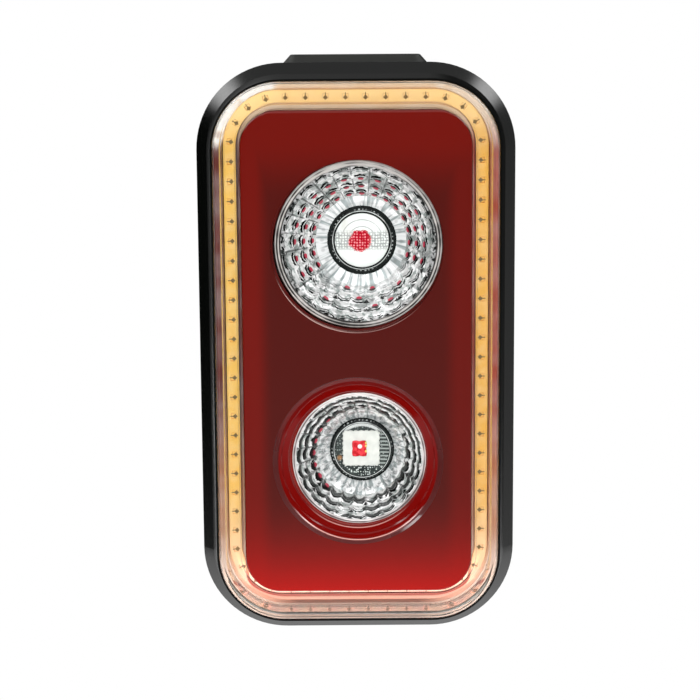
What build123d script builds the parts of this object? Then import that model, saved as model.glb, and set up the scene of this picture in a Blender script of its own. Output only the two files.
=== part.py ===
from build123d import *
import math
import os

os.makedirs("parts", exist_ok=True)

# Frame: origin on the seat post's axis at the clamp's mid height, +Z up the post.
# The lens looks along -Y, X runs across the light, and all lengths are millimetres.
# A depth is measured from the red panel's front face towards the post.
FRONT_Y = -49.5
HOUSING_DRAFT = 3.5

# Outlines seen from the front: half width, half height, corner radius.
RIM = (19.0, 34.54, 10.2)
STEP = (17.7, 33.24, 8.9)
CREST = (17.15, 32.7, 8.3)
LENS = (16.85, 32.43, 7.9)
STRIP = (15.2, 30.55, 6.0)
PANEL = (13.6, 28.9, 4.2)
PANEL_RISE = 0.2

# Depths of the front stack.
PANEL_SKIN = 1.2
PANEL_WALL_END = 6.5
LENS_FRONT = 0.6
LENS_SKIN = 1.4
CREST_DEPTH = 1.0
STEP_DEPTH = 3.5
RIM_DEPTH = 5.0
SPLIT_DEPTH = 5.3
GASKET_END = 6.1
STRIP_FACE = 7.4
STRIP_BOARD_FACE = 8.2
CHANNEL_FLOOR = 8.8
CHANNEL_BACK = 9.3
WEB_BACK = 10.3

# Depths of what lies behind the optics.
LED_BOARD_FACE = 12.3
LED_BOARD_BACK = 13.3
SPREADER_BACK = 14.1
PAD_BACK = 15.1
CELL_BACK = 20.7
CONTROL_FACE = 21.4
CONTROL_BACK = 22.4
CAVITY_BACK = 23.4
FOOT_SEAT = 24.8
BODY_BACK = 26.0

# Optics: centre height, radius of the clear disc, and depth of its front.
UPPER_Z = 13.2
UPPER_R = 9.9
UPPER_FRONT = 0.8
LOWER_Z = -12.6
LOWER_R = 8.0
LOWER_FRONT = 1.1
OPENING_R = 10.2
OPTIC_BACK = 11.0

# Facets of the optics: row edges from the hub out, and the fall of their bowl per mm.
UPPER_ROWS = (4.05, 5.4, 6.3, 7.3, 8.25, 9.2)
UPPER_FALL = 0.68
LOWER_ROWS = (3.9, 5.3, 6.3, 7.0, 7.6)
LOWER_FALL = 1.0
ROW_RISER = 0.12
RIM_STEP = 0.3
SECTOR_COUNT = 24
GROOVE_DEPTH = 0.25

# Light strip.
CHIP_COUNT = 72
STRIP_WIDTH = 1.5

# Button on the top edge.
BUTTON_DEPTH = 15.2
BUTTON = (8.8, 4.4, 1.8)
BUTTON_TOP = 35.3
BUTTON_TRAVEL = 0.5
FLANGE_TOP = 31.6
FLANGE_BOTTOM = 30.9
SWITCH_BOARD_Z = 27.6
SWITCH_TOP = 30.0
PLUNGER_R = 0.9
PLUNGER_SINK = 0.55

# Charging socket and its cover on the bottom edge.
SOCKET_DEPTH = 19.8
COVER_THICKNESS = 1.0
HINGE_REACH = 3.9
HINGE_SINK = 0.9

# Fixings.
CORNER_SCREW = (11.8, 27.4)
BOARD_SCREW = (10.4, 20.0)
CONTROL_SCREW = (7.4, -13.2)
FOOT_SCREW_R = 10.9

# Quarter-turn mount and the seat post.
POST_R = 13.6
PAD_OUTER_R = 15.95
SADDLE_R = 16.0
CUP_FLOOR_Y = -18.5
CUP_FRONT_Y = -23.05
CUP_LIP_Y = -21.25
CUP_R = 15.5
CUP_BORE_R = 13.0
MOUTH_R = 9.4
FOOT_R = 9.0
TAB_R = 12.6
TAB_BACK_Y = -18.8
TAB_FRONT_Y = -21.0
TAB_SPAN = 60
LIP_SPAN = 110
STRAP_INNER_R = 13.7
STRAP_THICKNESS = 2.4
STRAP_HALF_WIDTH = 6.5


def inset(outline, by):
    """An outline moved inwards all round."""
    half_x, half_z, corner = outline
    return half_x - by, half_z - by, max(corner - by, 0.3)


def at_depth(depth):
    """The plane across the light at a depth, facing the lens side."""
    return Plane.XZ.offset(-(FRONT_Y + depth))


def outline_face(outline, depth, centre_z=0.0):
    """A rounded rectangle across the light at a depth."""
    half_x, half_z, corner = outline
    with BuildSketch(at_depth(depth)) as face:
        with Locations((0, centre_z)):
            RectangleRounded(2 * half_x, 2 * half_z, corner)
    return face.sketch


def layer(outline, front, back, mode=Mode.ADD, centre_z=0.0):
    """A straight-sided layer between two depths."""
    extrude(outline_face(outline, back, centre_z), amount=back - front, mode=mode)


def flare(front_outline, front, back_outline, back, mode=Mode.ADD):
    """A layer whose outline changes evenly from one depth to the next."""
    ends = [outline_face(front_outline, front), outline_face(back_outline, back)]
    loft(sections=ends, ruled=True, mode=mode)


def post(radius, front, back, spots, mode=Mode.ADD):
    """Round posts or holes along the light's depth at the given X and Z spots."""
    with BuildSketch(at_depth(back)) as rounds:
        with Locations(*spots):
            Circle(radius)
    extrude(rounds.sketch, amount=back - front, mode=mode)


def turned(profile, centre_z, mode=Mode.ADD):
    """A ring made by turning radius and depth corners about an optic's axis."""
    with BuildSketch(Plane.XY.offset(centre_z)) as half:
        with BuildLine():
            Polyline(*[(radius, FRONT_Y + depth) for radius, depth in profile], close=True)
        make_face()
    revolve(half.sketch, axis=Axis((0, 0, centre_z), (0, 1, 0)), mode=mode)


def corners(half_x, half_z):
    """Four spots, one in each corner."""
    return [(side * half_x, end * half_z) for side in (-1, 1) for end in (-1, 1)]


def draft_loss(depth):
    """How far the drafted housing has narrowed at a depth."""
    return (depth - SPLIT_DEPTH) * math.tan(math.radians(HOUSING_DRAFT))


def strip_spot(travel):
    """A place and heading on the strip's centreline, clockwise from the top's middle."""
    half_x, half_z, corner = STRIP
    quarter = corner * math.pi / 2
    top_half = half_x - corner
    side = 2 * (half_z - corner)
    legs = [(top_half, 0), (quarter, 1), (side, 0), (quarter, 1), (2 * top_half, 0)]
    legs += [(quarter, 1), (side, 0), (quarter, 1), (top_half, 0)]
    x, z, heading = 0.0, half_z, 0.0
    for length, bends in legs:
        step = min(travel, length)
        if bends:
            turn = step / corner
            x += corner * (math.sin(heading + turn) - math.sin(heading))
            z += corner * (math.cos(heading + turn) - math.cos(heading))
            heading += turn
        else:
            x += step * math.cos(heading)
            z -= step * math.sin(heading)
        travel -= step
    return x, z, -math.degrees(heading)


def chip_outlines(along, across, depth):
    """Rectangles for the chips, evenly spaced round the strip."""
    half_x, half_z, corner = STRIP
    loop = 4 * (half_x + half_z - 2 * corner) + 2 * math.pi * corner
    pitch = loop / CHIP_COUNT
    with BuildSketch(at_depth(depth)) as chips:
        for index in range(CHIP_COUNT):
            x, z, heading = strip_spot((index + 0.5) * pitch)
            with Locations(Location((x, z, 0), (0, 0, heading))):
                Rectangle(along, across)
    return chips.sketch


def finish_part(builder, name):
    """Label a finished piece and write it."""
    builder.part.label = name
    export_step(builder.part, f"parts/{name}.step")


# The plane of the housing's bottom face, which leans with the draft. Its local
# y points to the lens side and its normal points out of the housing.
lean = math.radians(HOUSING_DRAFT)
bottom_z = -(RIM[1] - 0.05 - draft_loss(SOCKET_DEPTH))
bottom_face = Plane(
    origin=(0, FRONT_Y + SOCKET_DEPTH, bottom_z),
    x_dir=(1, 0, 0),
    z_dir=(0, math.sin(lean), -math.cos(lean)),
)
hinge_point = bottom_face.from_local_coords(Vector(0, HINGE_REACH, -HINGE_SINK))
hinge_plane = Plane(origin=hinge_point, x_dir=(0, 1, 0), z_dir=(1, 0, 0))


def hinge_round(radius, half_length, mode=Mode.ADD):
    """A round bar or hole along the cover's hinge line."""
    with BuildSketch(hinge_plane.offset(-half_length)) as disc:
        Circle(radius)
    extrude(disc.sketch, amount=2 * half_length, mode=mode)


def bottom_slab(half_x, near, far, out, depth, corner, mode=Mode.ADD):
    """A block in the bottom face's own frame, from one height down into the wall."""
    with BuildSketch(bottom_face.offset(out)) as slab:
        with Locations((0, (near + far) / 2)):
            RectangleRounded(2 * half_x, far - near, corner)
    extrude(slab.sketch, amount=-depth, mode=mode)


def top_slab(outline, low, high, mode=Mode.ADD):
    """A rounded block seen from above, centred on the button."""
    half_x, half_y, corner = outline
    with BuildSketch(Plane.XY.offset(low)) as slab:
        with Locations((0, FRONT_Y + BUTTON_DEPTH)):
            RectangleRounded(2 * half_x, 2 * half_y, corner)
    extrude(slab.sketch, amount=high - low, mode=mode)


# Rear housing: a drafted black tub that holds everything behind the lens.
HOUSING = inset(RIM, 0.05)
CAVITY = inset(RIM, 2.0)
with BuildPart() as rear_housing:
    flare(HOUSING, SPLIT_DEPTH, inset(HOUSING, draft_loss(BODY_BACK)), BODY_BACK)
    back_edges = rear_housing.faces().sort_by(Axis.Y)[-1].edges()
    fillet(back_edges, radius=1.9)
    layer(inset(RIM, 0.75), SPLIT_DEPTH, GASKET_END, mode=Mode.SUBTRACT)
    cavity_loss = draft_loss(CAVITY_BACK) - draft_loss(GASKET_END)
    flare(CAVITY, GASKET_END, inset(CAVITY, cavity_loss), CAVITY_BACK, mode=Mode.SUBTRACT)
    # Posts for the control board and for the screws that hold the foot.
    foot_spots = corners(FOOT_SCREW_R * math.sqrt(0.5), FOOT_SCREW_R * math.sqrt(0.5))
    control_spots = [(-CONTROL_SCREW[0], CONTROL_SCREW[1]), CONTROL_SCREW]
    post(2.0, CONTROL_FACE + 0.1, CAVITY_BACK, foot_spots)
    post(1.7, CONTROL_BACK, CAVITY_BACK, control_spots)
    # Two forks that carry the small board under the button.
    for side in (-1, 1):
        with BuildSketch(at_depth(CAVITY_BACK)) as fork:
            with Locations((side * 8.6, SWITCH_BOARD_Z + 0.8)):
                Rectangle(1.4, 3.0)
        extrude(fork.sketch, amount=CAVITY_BACK - 11.0)
    with BuildSketch(at_depth(18.05)) as fork_groove:
        with Locations((0, SWITCH_BOARD_Z + 0.4)):
            Rectangle(2 * 8.7, 0.9)
    extrude(fork_groove.sketch, amount=18.05 - 10.5, mode=Mode.SUBTRACT)
    # Seat of the quarter-turn foot, and every screw hole.
    post(12.7, FOOT_SEAT, BODY_BACK, [(0, 0)], mode=Mode.SUBTRACT)
    post(0.85, CONTROL_FACE + 0.1, BODY_BACK, foot_spots, mode=Mode.SUBTRACT)
    post(0.85, CONTROL_BACK, FOOT_SEAT - 0.4, control_spots, mode=Mode.SUBTRACT)
    post(1.15, CAVITY_BACK - 0.2, BODY_BACK, corners(*CORNER_SCREW), mode=Mode.SUBTRACT)
    post(2.1, BODY_BACK - 1.4, BODY_BACK, corners(*CORNER_SCREW), mode=Mode.SUBTRACT)
    # Button opening in the top wall.
    top_slab((BUTTON[0] + 0.57, BUTTON[1] + 0.57, 2.2), SWITCH_TOP + 1.0, 36.0, mode=Mode.SUBTRACT)
    # Cover recess, hinge trough, hinge holes and socket opening in the bottom wall.
    bottom_slab(6.2, -3.6, HINGE_REACH - 1.0, 1.0, 2.15, 1.0, mode=Mode.SUBTRACT)
    bottom_slab(4.6, -2.0, HINGE_REACH + 1.15, 1.0, 2.15, 0.4, mode=Mode.SUBTRACT)
    hinge_round(0.9, 4.6, mode=Mode.SUBTRACT)
    hinge_round(0.57, 5.6, mode=Mode.SUBTRACT)
    bottom_slab(4.85, -1.95, 1.95, 0.0, 4.0, 1.9, mode=Mode.SUBTRACT)
finish_part(rear_housing, "rear_housing")

# Front bezel: the glossy black ring, with the wide outer bevel and the steep inner wall.
with BuildPart() as front_bezel:
    layer(RIM, RIM_DEPTH, SPLIT_DEPTH)
    flare(STEP, STEP_DEPTH, RIM, RIM_DEPTH)
    flare(CREST, CREST_DEPTH, STEP, STEP_DEPTH)
    layer(inset(LENS, -0.05), CREST_DEPTH - 1, SPLIT_DEPTH, mode=Mode.SUBTRACT)
    layer(inset(LENS, -0.55), 4.2, SPLIT_DEPTH, mode=Mode.SUBTRACT)
finish_part(front_bezel, "front_bezel")

# Front gasket: a silicone ring pressed between the lens flange, the bezel and the tub.
with BuildPart() as front_gasket:
    layer(inset(RIM, 0.8), SPLIT_DEPTH, GASKET_END)
    layer(CAVITY, SPLIT_DEPTH - 1, GASKET_END + 1, mode=Mode.SUBTRACT)
finish_part(front_gasket, "front_gasket")

# Clear lens: a polycarbonate ring that covers the strip, with a flange under the bezel.
with BuildPart() as clear_lens:
    layer(LENS, LENS_FRONT, SPLIT_DEPTH)
    front_edges = clear_lens.faces().sort_by(Axis.Y)[0].edges()
    fillet(front_edges, radius=0.5)
    layer(inset(LENS, -0.45), 4.3, SPLIT_DEPTH)
    layer(inset(LENS, 0.75), LENS_FRONT + LENS_SKIN, SPLIT_DEPTH + 1, mode=Mode.SUBTRACT)
    layer(inset(PANEL, -0.7), LENS_FRONT + LENS_SKIN, 2.9, centre_z=PANEL_RISE)
    layer(inset(PANEL, -0.1), LENS_FRONT - 1, 4.0, mode=Mode.SUBTRACT, centre_z=PANEL_RISE)
finish_part(clear_lens, "clear_lens")

# Red panel: a raised plateau with side walls, an upper opening and a dished lower collar.
COLLAR_BACK = 3.2
with BuildPart() as red_panel:
    layer(PANEL, 0, PANEL_WALL_END, centre_z=PANEL_RISE)
    panel_edges = red_panel.faces().sort_by(Axis.Y)[0].edges()
    fillet(panel_edges, radius=0.25)
    layer(inset(PANEL, 1.0), PANEL_SKIN, PANEL_WALL_END + 1, mode=Mode.SUBTRACT, centre_z=PANEL_RISE)
    turned([(0, -1), (OPENING_R, -1), (OPENING_R, 5), (0, 5)], UPPER_Z, mode=Mode.SUBTRACT)
    upper_ring = [(OPENING_R, 0.1), (OPENING_R + 0.9, 0.4), (OPENING_R + 0.9, 2.2), (OPENING_R, 2.2)]
    turned(upper_ring, UPPER_Z)
    turned([(0, -1), (OPENING_R, -1), (OPENING_R, 5), (0, 5)], LOWER_Z, mode=Mode.SUBTRACT)
    dish = [(OPENING_R, 0.0), (9.65, 0.6), (9.25, 0.72), (9.1, 0.9), (8.4, 1.05), (8.2, 1.3)]
    dish += [(8.2, COLLAR_BACK), (9.4, COLLAR_BACK), (9.8, 2.0), (OPENING_R + 0.9, 1.6)]
    dish += [(OPENING_R + 0.9, 0.2), (OPENING_R, 0.2)]
    turned(dish, LOWER_Z)
finish_part(red_panel, "red_panel")


def bowl_depth(front, rows, fall, radius):
    """Depth of an optic's bowl at a radius, deepest at the hub."""
    return front + RIM_STEP + (rows[-1] - radius) * fall


def optic_profile(radius, front, rows, fall):
    """Half section of a clear collimator: hub lens, facet rows, rim, cone and light pocket."""
    hub_r = rows[0]
    hub = bowl_depth(front, rows, fall, hub_r)
    section = [(0, hub - 0.5), (1.8, hub - 0.35), (hub_r - 0.7, hub + 0.1)]
    section += [(hub_r - 0.45, hub + 0.6), (hub_r, hub + 0.6)]
    for inner, outer in zip(rows, rows[1:]):
        section.append((inner, bowl_depth(front, rows, fall, inner) - ROW_RISER / 2))
        section.append((outer, bowl_depth(front, rows, fall, outer) + ROW_RISER / 2))
    section += [(rows[-1], front), (radius, front), (radius, front + 1.3), (radius - 0.7, front + 1.6)]
    section += [(3.4, OPTIC_BACK), (2.0, OPTIC_BACK), (1.9, OPTIC_BACK - 2.0), (0, OPTIC_BACK - 2.2)]
    return section


def sector_grooves(centre_z, front, rows, fall):
    """Grooves that run down the bowl and part its rows into facets."""
    apex = (0, FRONT_Y + bowl_depth(front, rows, fall, 0), centre_z)
    slant = math.hypot(1, fall)
    planes = []
    for sector in range(SECTOR_COUNT):
        angle = math.radians(360 / SECTOR_COUNT * (sector + 0.4))
        along = Vector(math.cos(angle), -fall, math.sin(angle))
        across = Vector(-math.sin(angle), 0, math.cos(angle))
        start = Vector(*apex) + along * rows[0]
        planes.append(Plane(origin=start, x_dir=across, z_dir=along))
    with BuildSketch(*planes) as grooves:
        with BuildLine():
            # Local y points out of the bowl's surface.
            Polyline((-0.45, 0.5), (0.45, 0.5), (0, -GROOVE_DEPTH), close=True)
        make_face()
    extrude(grooves.sketch, amount=(rows[-1] - rows[0]) * slant, mode=Mode.SUBTRACT)


def holder_profile(radius, front, gap=0.2, wall=0.7):
    """Half section of the cup that carries a collimator on the board."""
    rim = front + 2.1
    wide = radius - 0.7 + gap
    slope = (wide - 3.4 - gap) / (OPTIC_BACK - front - 1.6)
    bend = OPTIC_BACK + 0.1
    return [
        (wide - slope * 0.5, rim),
        (wide - slope * 0.5 + wall, rim),
        (3.4 + gap + wall + slope, bend - 0.4),
        (7.0, bend),
        (7.0, LED_BOARD_FACE),
        (3.2, LED_BOARD_FACE),
        (3.2, OPTIC_BACK + 0.2),
        (3.4 + gap, OPTIC_BACK - 0.1),
    ]


# Collimating optics: the large sunburst one above and the smaller one below.
with BuildPart() as upper_optic:
    turned(optic_profile(UPPER_R, UPPER_FRONT, UPPER_ROWS, UPPER_FALL), UPPER_Z)
    sector_grooves(UPPER_Z, UPPER_FRONT, UPPER_ROWS, UPPER_FALL)
finish_part(upper_optic, "upper_optic")

with BuildPart() as lower_optic:
    turned(optic_profile(LOWER_R, LOWER_FRONT, LOWER_ROWS, LOWER_FALL), LOWER_Z)
    sector_grooves(LOWER_Z, LOWER_FRONT, LOWER_ROWS, LOWER_FALL)
finish_part(lower_optic, "lower_optic")

with BuildPart() as upper_optic_holder:
    turned(holder_profile(UPPER_R, UPPER_FRONT), UPPER_Z)
finish_part(upper_optic_holder, "upper_optic_holder")

with BuildPart() as lower_optic_holder:
    turned(holder_profile(LOWER_R, LOWER_FRONT), LOWER_Z)
finish_part(lower_optic_holder, "lower_optic_holder")


def led_package(centre_z):
    """A square light package with a small silicone dome."""
    with BuildSketch(at_depth(LED_BOARD_FACE)) as base:
        with Locations((0, centre_z)):
            RectangleRounded(3.4, 3.4, 0.3)
    extrude(base.sketch, amount=0.8)
    dome_front = LED_BOARD_FACE - 2.0
    turned([(0, dome_front), (0.8, dome_front + 0.25), (1.2, dome_front + 1.2), (0, dome_front + 1.3)], centre_z)


with BuildPart() as upper_led:
    led_package(UPPER_Z)
finish_part(upper_led, "upper_led")

with BuildPart() as lower_led:
    led_package(LOWER_Z)
finish_part(lower_led, "lower_led")

# Inner frame: off-white, with the channel for the strip, a web and four screw posts.
FRAME_OUTER = inset(RIM, 2.25)
with BuildPart() as inner_frame:
    layer(FRAME_OUTER, SPLIT_DEPTH, CHANNEL_BACK)
    layer(inset(FRAME_OUTER, 0.7), SPLIT_DEPTH - 1, CHANNEL_FLOOR, mode=Mode.SUBTRACT)
    layer(inset(PANEL, -0.5), 5.8, WEB_BACK, centre_z=PANEL_RISE)
    layer(inset(PANEL, -0.1), 4.0, PANEL_WALL_END, mode=Mode.SUBTRACT, centre_z=PANEL_RISE)
    layer(inset(PANEL, 1.6), 4.0, CHANNEL_BACK, mode=Mode.SUBTRACT, centre_z=PANEL_RISE)
    post(2.1, WEB_BACK - 1, CAVITY_BACK, corners(*CORNER_SCREW))
    post(1.9, WEB_BACK - 1, LED_BOARD_FACE, corners(*BOARD_SCREW))
    post(1.0, 17.4, CAVITY_BACK, corners(*CORNER_SCREW), mode=Mode.SUBTRACT)
    post(0.85, CHANNEL_BACK + 0.6, LED_BOARD_FACE, corners(*BOARD_SCREW), mode=Mode.SUBTRACT)
    post(7.3, CHANNEL_BACK - 1, WEB_BACK + 1, [(0, UPPER_Z), (0, LOWER_Z)], mode=Mode.SUBTRACT)
    post(0.5, CHANNEL_FLOOR - 1, WEB_BACK + 1, [(-2.2, -STRIP[1]), (2.2, -STRIP[1])], mode=Mode.SUBTRACT)
finish_part(inner_frame, "inner_frame")

# Light strip: flexible board, chips and the yellow coating that lies between them.
with BuildPart() as strip_board:
    layer(inset(STRIP, -0.76), STRIP_BOARD_FACE, CHANNEL_FLOOR)
    layer(inset(STRIP, 0.76), STRIP_BOARD_FACE - 1, CHANNEL_FLOOR + 1, mode=Mode.SUBTRACT)
finish_part(strip_board, "strip_board")

with BuildPart() as strip_chips:
    extrude(chip_outlines(0.62, 0.5, STRIP_BOARD_FACE), amount=STRIP_BOARD_FACE - STRIP_FACE - 0.1)
finish_part(strip_chips, "strip_chips")

with BuildPart() as strip_coating:
    layer(inset(STRIP, -STRIP_WIDTH / 2), STRIP_FACE, STRIP_BOARD_FACE)
    layer(inset(STRIP, STRIP_WIDTH / 2), STRIP_FACE - 1, STRIP_BOARD_FACE + 1, mode=Mode.SUBTRACT)
    extrude(chip_outlines(0.72, 0.6, STRIP_BOARD_FACE + 0.5), amount=2, mode=Mode.SUBTRACT)
finish_part(strip_coating, "strip_coating")

# Board for the two main lights, with the plate that spreads their heat.
BOARD = (12.4, 24.2, 2.5)
with BuildPart() as led_board:
    layer(BOARD, LED_BOARD_FACE, LED_BOARD_BACK)
    post(0.95, LED_BOARD_FACE - 1, LED_BOARD_BACK + 1, corners(*BOARD_SCREW), mode=Mode.SUBTRACT)
finish_part(led_board, "led_board")

with BuildPart() as heat_spreader:
    layer((12.0, 22.2, 2.0), LED_BOARD_BACK, SPREADER_BACK)
    post(0.95, LED_BOARD_BACK - 1, SPREADER_BACK + 1, corners(*BOARD_SCREW), mode=Mode.SUBTRACT)
finish_part(heat_spreader, "heat_spreader")

# Battery on its foam pad.
CELL_Z = 2.8
with BuildPart() as battery_pad:
    layer((9.5, 13.5, 0.8), SPREADER_BACK, PAD_BACK, centre_z=CELL_Z)
finish_part(battery_pad, "battery_pad")

with BuildPart() as battery_cell:
    layer((11.0, 14.6, 1.6), PAD_BACK, CELL_BACK, centre_z=CELL_Z)
    fillet(battery_cell.edges().filter_by(Axis.Y, reverse=True), radius=0.8)
finish_part(battery_cell, "battery_cell")

# Control board with its parts and the charging socket, at the bottom end.
CONTROL_TOP = -10.4
CONTROL_BOTTOM = -30.4
with BuildPart() as control_board:
    middle = (CONTROL_TOP + CONTROL_BOTTOM) / 2
    half_height = (CONTROL_TOP - CONTROL_BOTTOM) / 2
    layer((9.2, half_height, 1.0), CONTROL_FACE, CONTROL_BACK, centre_z=middle)
    post(0.95, CONTROL_FACE - 1, CONTROL_BACK + 1, control_spots, mode=Mode.SUBTRACT)
finish_part(control_board, "control_board")

with BuildPart() as controller_parts:
    with BuildSketch(at_depth(CONTROL_FACE)) as chips_low:
        with Locations((-1.8, -18.4)):
            Rectangle(4.0, 4.0)
        with Locations((3.2, -17.2), (3.2, -19.4), (5.6, -18.4)):
            Rectangle(1.2, 1.8)
    extrude(chips_low.sketch, amount=0.9)
    with BuildSketch(at_depth(CONTROL_FACE)) as coil:
        with Locations((-6.0, -18.4)):
            RectangleRounded(3.4, 3.4, 0.6)
    extrude(coil.sketch, amount=2.0)
finish_part(controller_parts, "controller_parts")

SOCKET_MOUTH_Z = -31.4
with BuildPart() as usb_socket:
    with BuildSketch(Plane.XY.offset(SOCKET_MOUTH_Z)) as shell:
        with Locations((0, FRONT_Y + SOCKET_DEPTH)):
            RectangleRounded(8.94, 3.2, 1.5)
    extrude(shell.sketch, amount=7.3)
    with BuildSketch(Plane.XY.offset(SOCKET_MOUTH_Z)) as mouth:
        with Locations((0, FRONT_Y + SOCKET_DEPTH)):
            RectangleRounded(8.34, 2.56, 1.25)
    extrude(mouth.sketch, amount=6.2, mode=Mode.SUBTRACT)
    with BuildSketch(Plane.XY.offset(SOCKET_MOUTH_Z + 1.2)) as tongue:
        with Locations((0, FRONT_Y + SOCKET_DEPTH)):
            Rectangle(6.69, 0.7)
    extrude(tongue.sketch, amount=5.5)
finish_part(usb_socket, "usb_socket")

# Small board and switch under the button.
with BuildPart() as button_board:
    with BuildSketch(Plane.XY.offset(SWITCH_BOARD_Z)) as small_board:
        with Locations((0, FRONT_Y + 14.5)):
            Rectangle(2 * 8.6, 6.9)
    extrude(small_board.sketch, amount=0.8)
finish_part(button_board, "button_board")

with BuildPart() as tact_switch:
    with BuildSketch(Plane.XY.offset(SWITCH_BOARD_Z + 0.8)) as body:
        with Locations((0, FRONT_Y + BUTTON_DEPTH)):
            RectangleRounded(4.5, 4.5, 0.4)
    extrude(body.sketch, amount=SWITCH_TOP - SWITCH_BOARD_Z - 0.8)
    with BuildSketch(Plane.XY.offset(SWITCH_TOP - PLUNGER_SINK - BUTTON_TRAVEL - 0.07)) as bore:
        with Locations((0, FRONT_Y + BUTTON_DEPTH)):
            Circle(PLUNGER_R + 0.09)
    extrude(bore.sketch, amount=2, mode=Mode.SUBTRACT)
finish_part(tact_switch, "tact_switch")

with BuildPart() as switch_plunger:
    with BuildSketch(Plane.XY.offset(SWITCH_TOP - PLUNGER_SINK)) as stem:
        with Locations((0, FRONT_Y + BUTTON_DEPTH)):
            Circle(PLUNGER_R)
    extrude(stem.sketch, amount=2 * PLUNGER_SINK)
finish_part(switch_plunger, "switch_plunger")

# Button cap: bevelled pad, retaining flange and a nub over the switch.
with BuildPart() as button_cap:
    top_slab(BUTTON, FLANGE_TOP - 0.1, BUTTON_TOP)
    crown = button_cap.faces().sort_by(Axis.Z)[-1].edges()
    chamfer(crown, length=0.95, length2=0.85)
    top_slab((BUTTON[0] + 0.7, BUTTON[1] + 0.7, 2.4), FLANGE_BOTTOM, FLANGE_TOP)
    with BuildSketch(Plane.XY.offset(SWITCH_TOP + PLUNGER_SINK)) as nub:
        with Locations((0, FRONT_Y + BUTTON_DEPTH)):
            Circle(1.4)
    extrude(nub.sketch, amount=FLANGE_BOTTOM - SWITCH_TOP - 0.5)
finish_part(button_cap, "button_cap")

with BuildPart() as button_seal:
    top_slab((BUTTON[0] + 0.55, BUTTON[1] + 0.55, 2.15), 32.2, 33.6)
    top_slab((BUTTON[0] + 0.12, BUTTON[1] + 0.12, 1.9), 32.0, 34.0, mode=Mode.SUBTRACT)
finish_part(button_seal, "button_seal")

# Charging cover: a rubber flap with a plug, on a bead with two short trunnions.
with BuildPart() as usb_cover:
    # The flap's shoulders end short of the recess, which leaves room for their swing.
    bottom_slab(6.0, -3.4, HINGE_REACH - 1.5, 0.0, COVER_THICKNESS, 0.9)
    bottom_slab(4.45, -1.0, HINGE_REACH, 0.0, COVER_THICKNESS, 0.3)
    hinge_round(0.8, 4.45)
    hinge_round(0.5, 5.4)
    bottom_slab(4.0, -1.15, 1.15, -COVER_THICKNESS + 0.05, 1.15, 1.1)
finish_part(usb_cover, "usb_cover")


def screw(head_r, head_height, shank_r, length, plane, spots):
    """Domed screws whose heads sit on a plane and whose shanks go against its normal."""
    with BuildSketch(plane) as heads:
        with Locations(*spots):
            Circle(head_r)
    extrude(heads.sketch, amount=head_height)
    with BuildSketch(plane) as shanks:
        with Locations(*spots):
            Circle(shank_r)
    extrude(shanks.sketch, amount=-length)
    with BuildSketch(plane.offset(head_height)) as drives:
        with Locations(*spots):
            RegularPolygon(head_r * 0.5, 6)
    extrude(drives.sketch, amount=-head_height * 0.55, mode=Mode.SUBTRACT)


def screw_seat(depth):
    """A plane across the light at a depth, facing the post."""
    return Plane(origin=(0, FRONT_Y + depth, 0), x_dir=(1, 0, 0), z_dir=(0, 1, 0))


with BuildPart() as housing_screws:
    screw(1.95, 1.2, 0.95, 6.6, screw_seat(BODY_BACK - 1.4), corners(*CORNER_SCREW))
finish_part(housing_screws, "housing_screws")

with BuildPart() as board_screws:
    screw(1.5, 0.8, 0.8, 4.0, screw_seat(SPREADER_BACK), corners(*BOARD_SCREW))
finish_part(board_screws, "board_screws")

with BuildPart() as control_screws:
    # These two go in from the lens side, so their seat plane faces the lens.
    screw(1.5, 0.6, 0.8, 2.8, at_depth(CONTROL_FACE), control_spots)
finish_part(control_screws, "control_screws")

with BuildPart() as foot_screws:
    screw(1.5, 0.6, 0.8, 4.0, screw_seat(BODY_BACK - 0.65), foot_spots)
finish_part(foot_screws, "foot_screws")

# Wires inside: battery to board, board to board, strip to board, and switch to board.
WIRE_R = 0.4


def wire_run(points, bend):
    """A round wire along straight runs joined by arcs."""
    with BuildLine() as route:
        FilletPolyline(*[(x, FRONT_Y + depth, z) for x, depth, z in points], radius=bend)
    with BuildSketch(Plane(origin=route.line @ 0, z_dir=route.line % 0)) as section:
        Circle(WIRE_R)
    sweep(section.sketch, path=route.line)


CELL_END = CELL_Z - 14.6
with BuildPart() as internal_wires:
    for side in (-1, 1):
        wire_run([(side * 2.0, 18.0, CELL_END), (side * 2.0, 18.0, -14.6), (side * 2.0, CONTROL_FACE, -14.6)], 1.2)
        drop = [(side * 2.2, CHANNEL_FLOOR, -STRIP[1]), (side * 2.2, 11.2, -STRIP[1])]
        drop += [(side * 2.2, 11.2, -23.3), (side * 2.2, LED_BOARD_FACE, -23.3)]
        wire_run(drop, 0.6)
    post(WIRE_R, LED_BOARD_BACK, CONTROL_FACE, [(-6.8, -23.2), (6.8, -23.2)])
    with BuildSketch(Plane.XY.offset(BOARD[1])) as risers:
        with Locations((-1.6, FRONT_Y + 12.8), (1.6, FRONT_Y + 12.8)):
            Circle(WIRE_R)
    extrude(risers.sketch, amount=SWITCH_BOARD_Z - BOARD[1])
finish_part(internal_wires, "internal_wires")


def cross_ring(inner, outer, middle, span, front_y, back_y, mode=Mode.ADD):
    """Part of a flat ring across the light's depth, centred on an angle from +X."""
    with BuildSketch(Plane.XZ.offset(-back_y)) as piece:
        with BuildLine():
            rim_arc = CenterArc((0, 0), outer, middle - span / 2, span)
            bore_arc = CenterArc((0, 0), inner, middle - span / 2, span)
            Line(rim_arc @ 0, bore_arc @ 0)
            Line(rim_arc @ 1, bore_arc @ 1)
        make_face()
    extrude(piece.sketch, amount=back_y - front_y, mode=mode)


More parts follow.
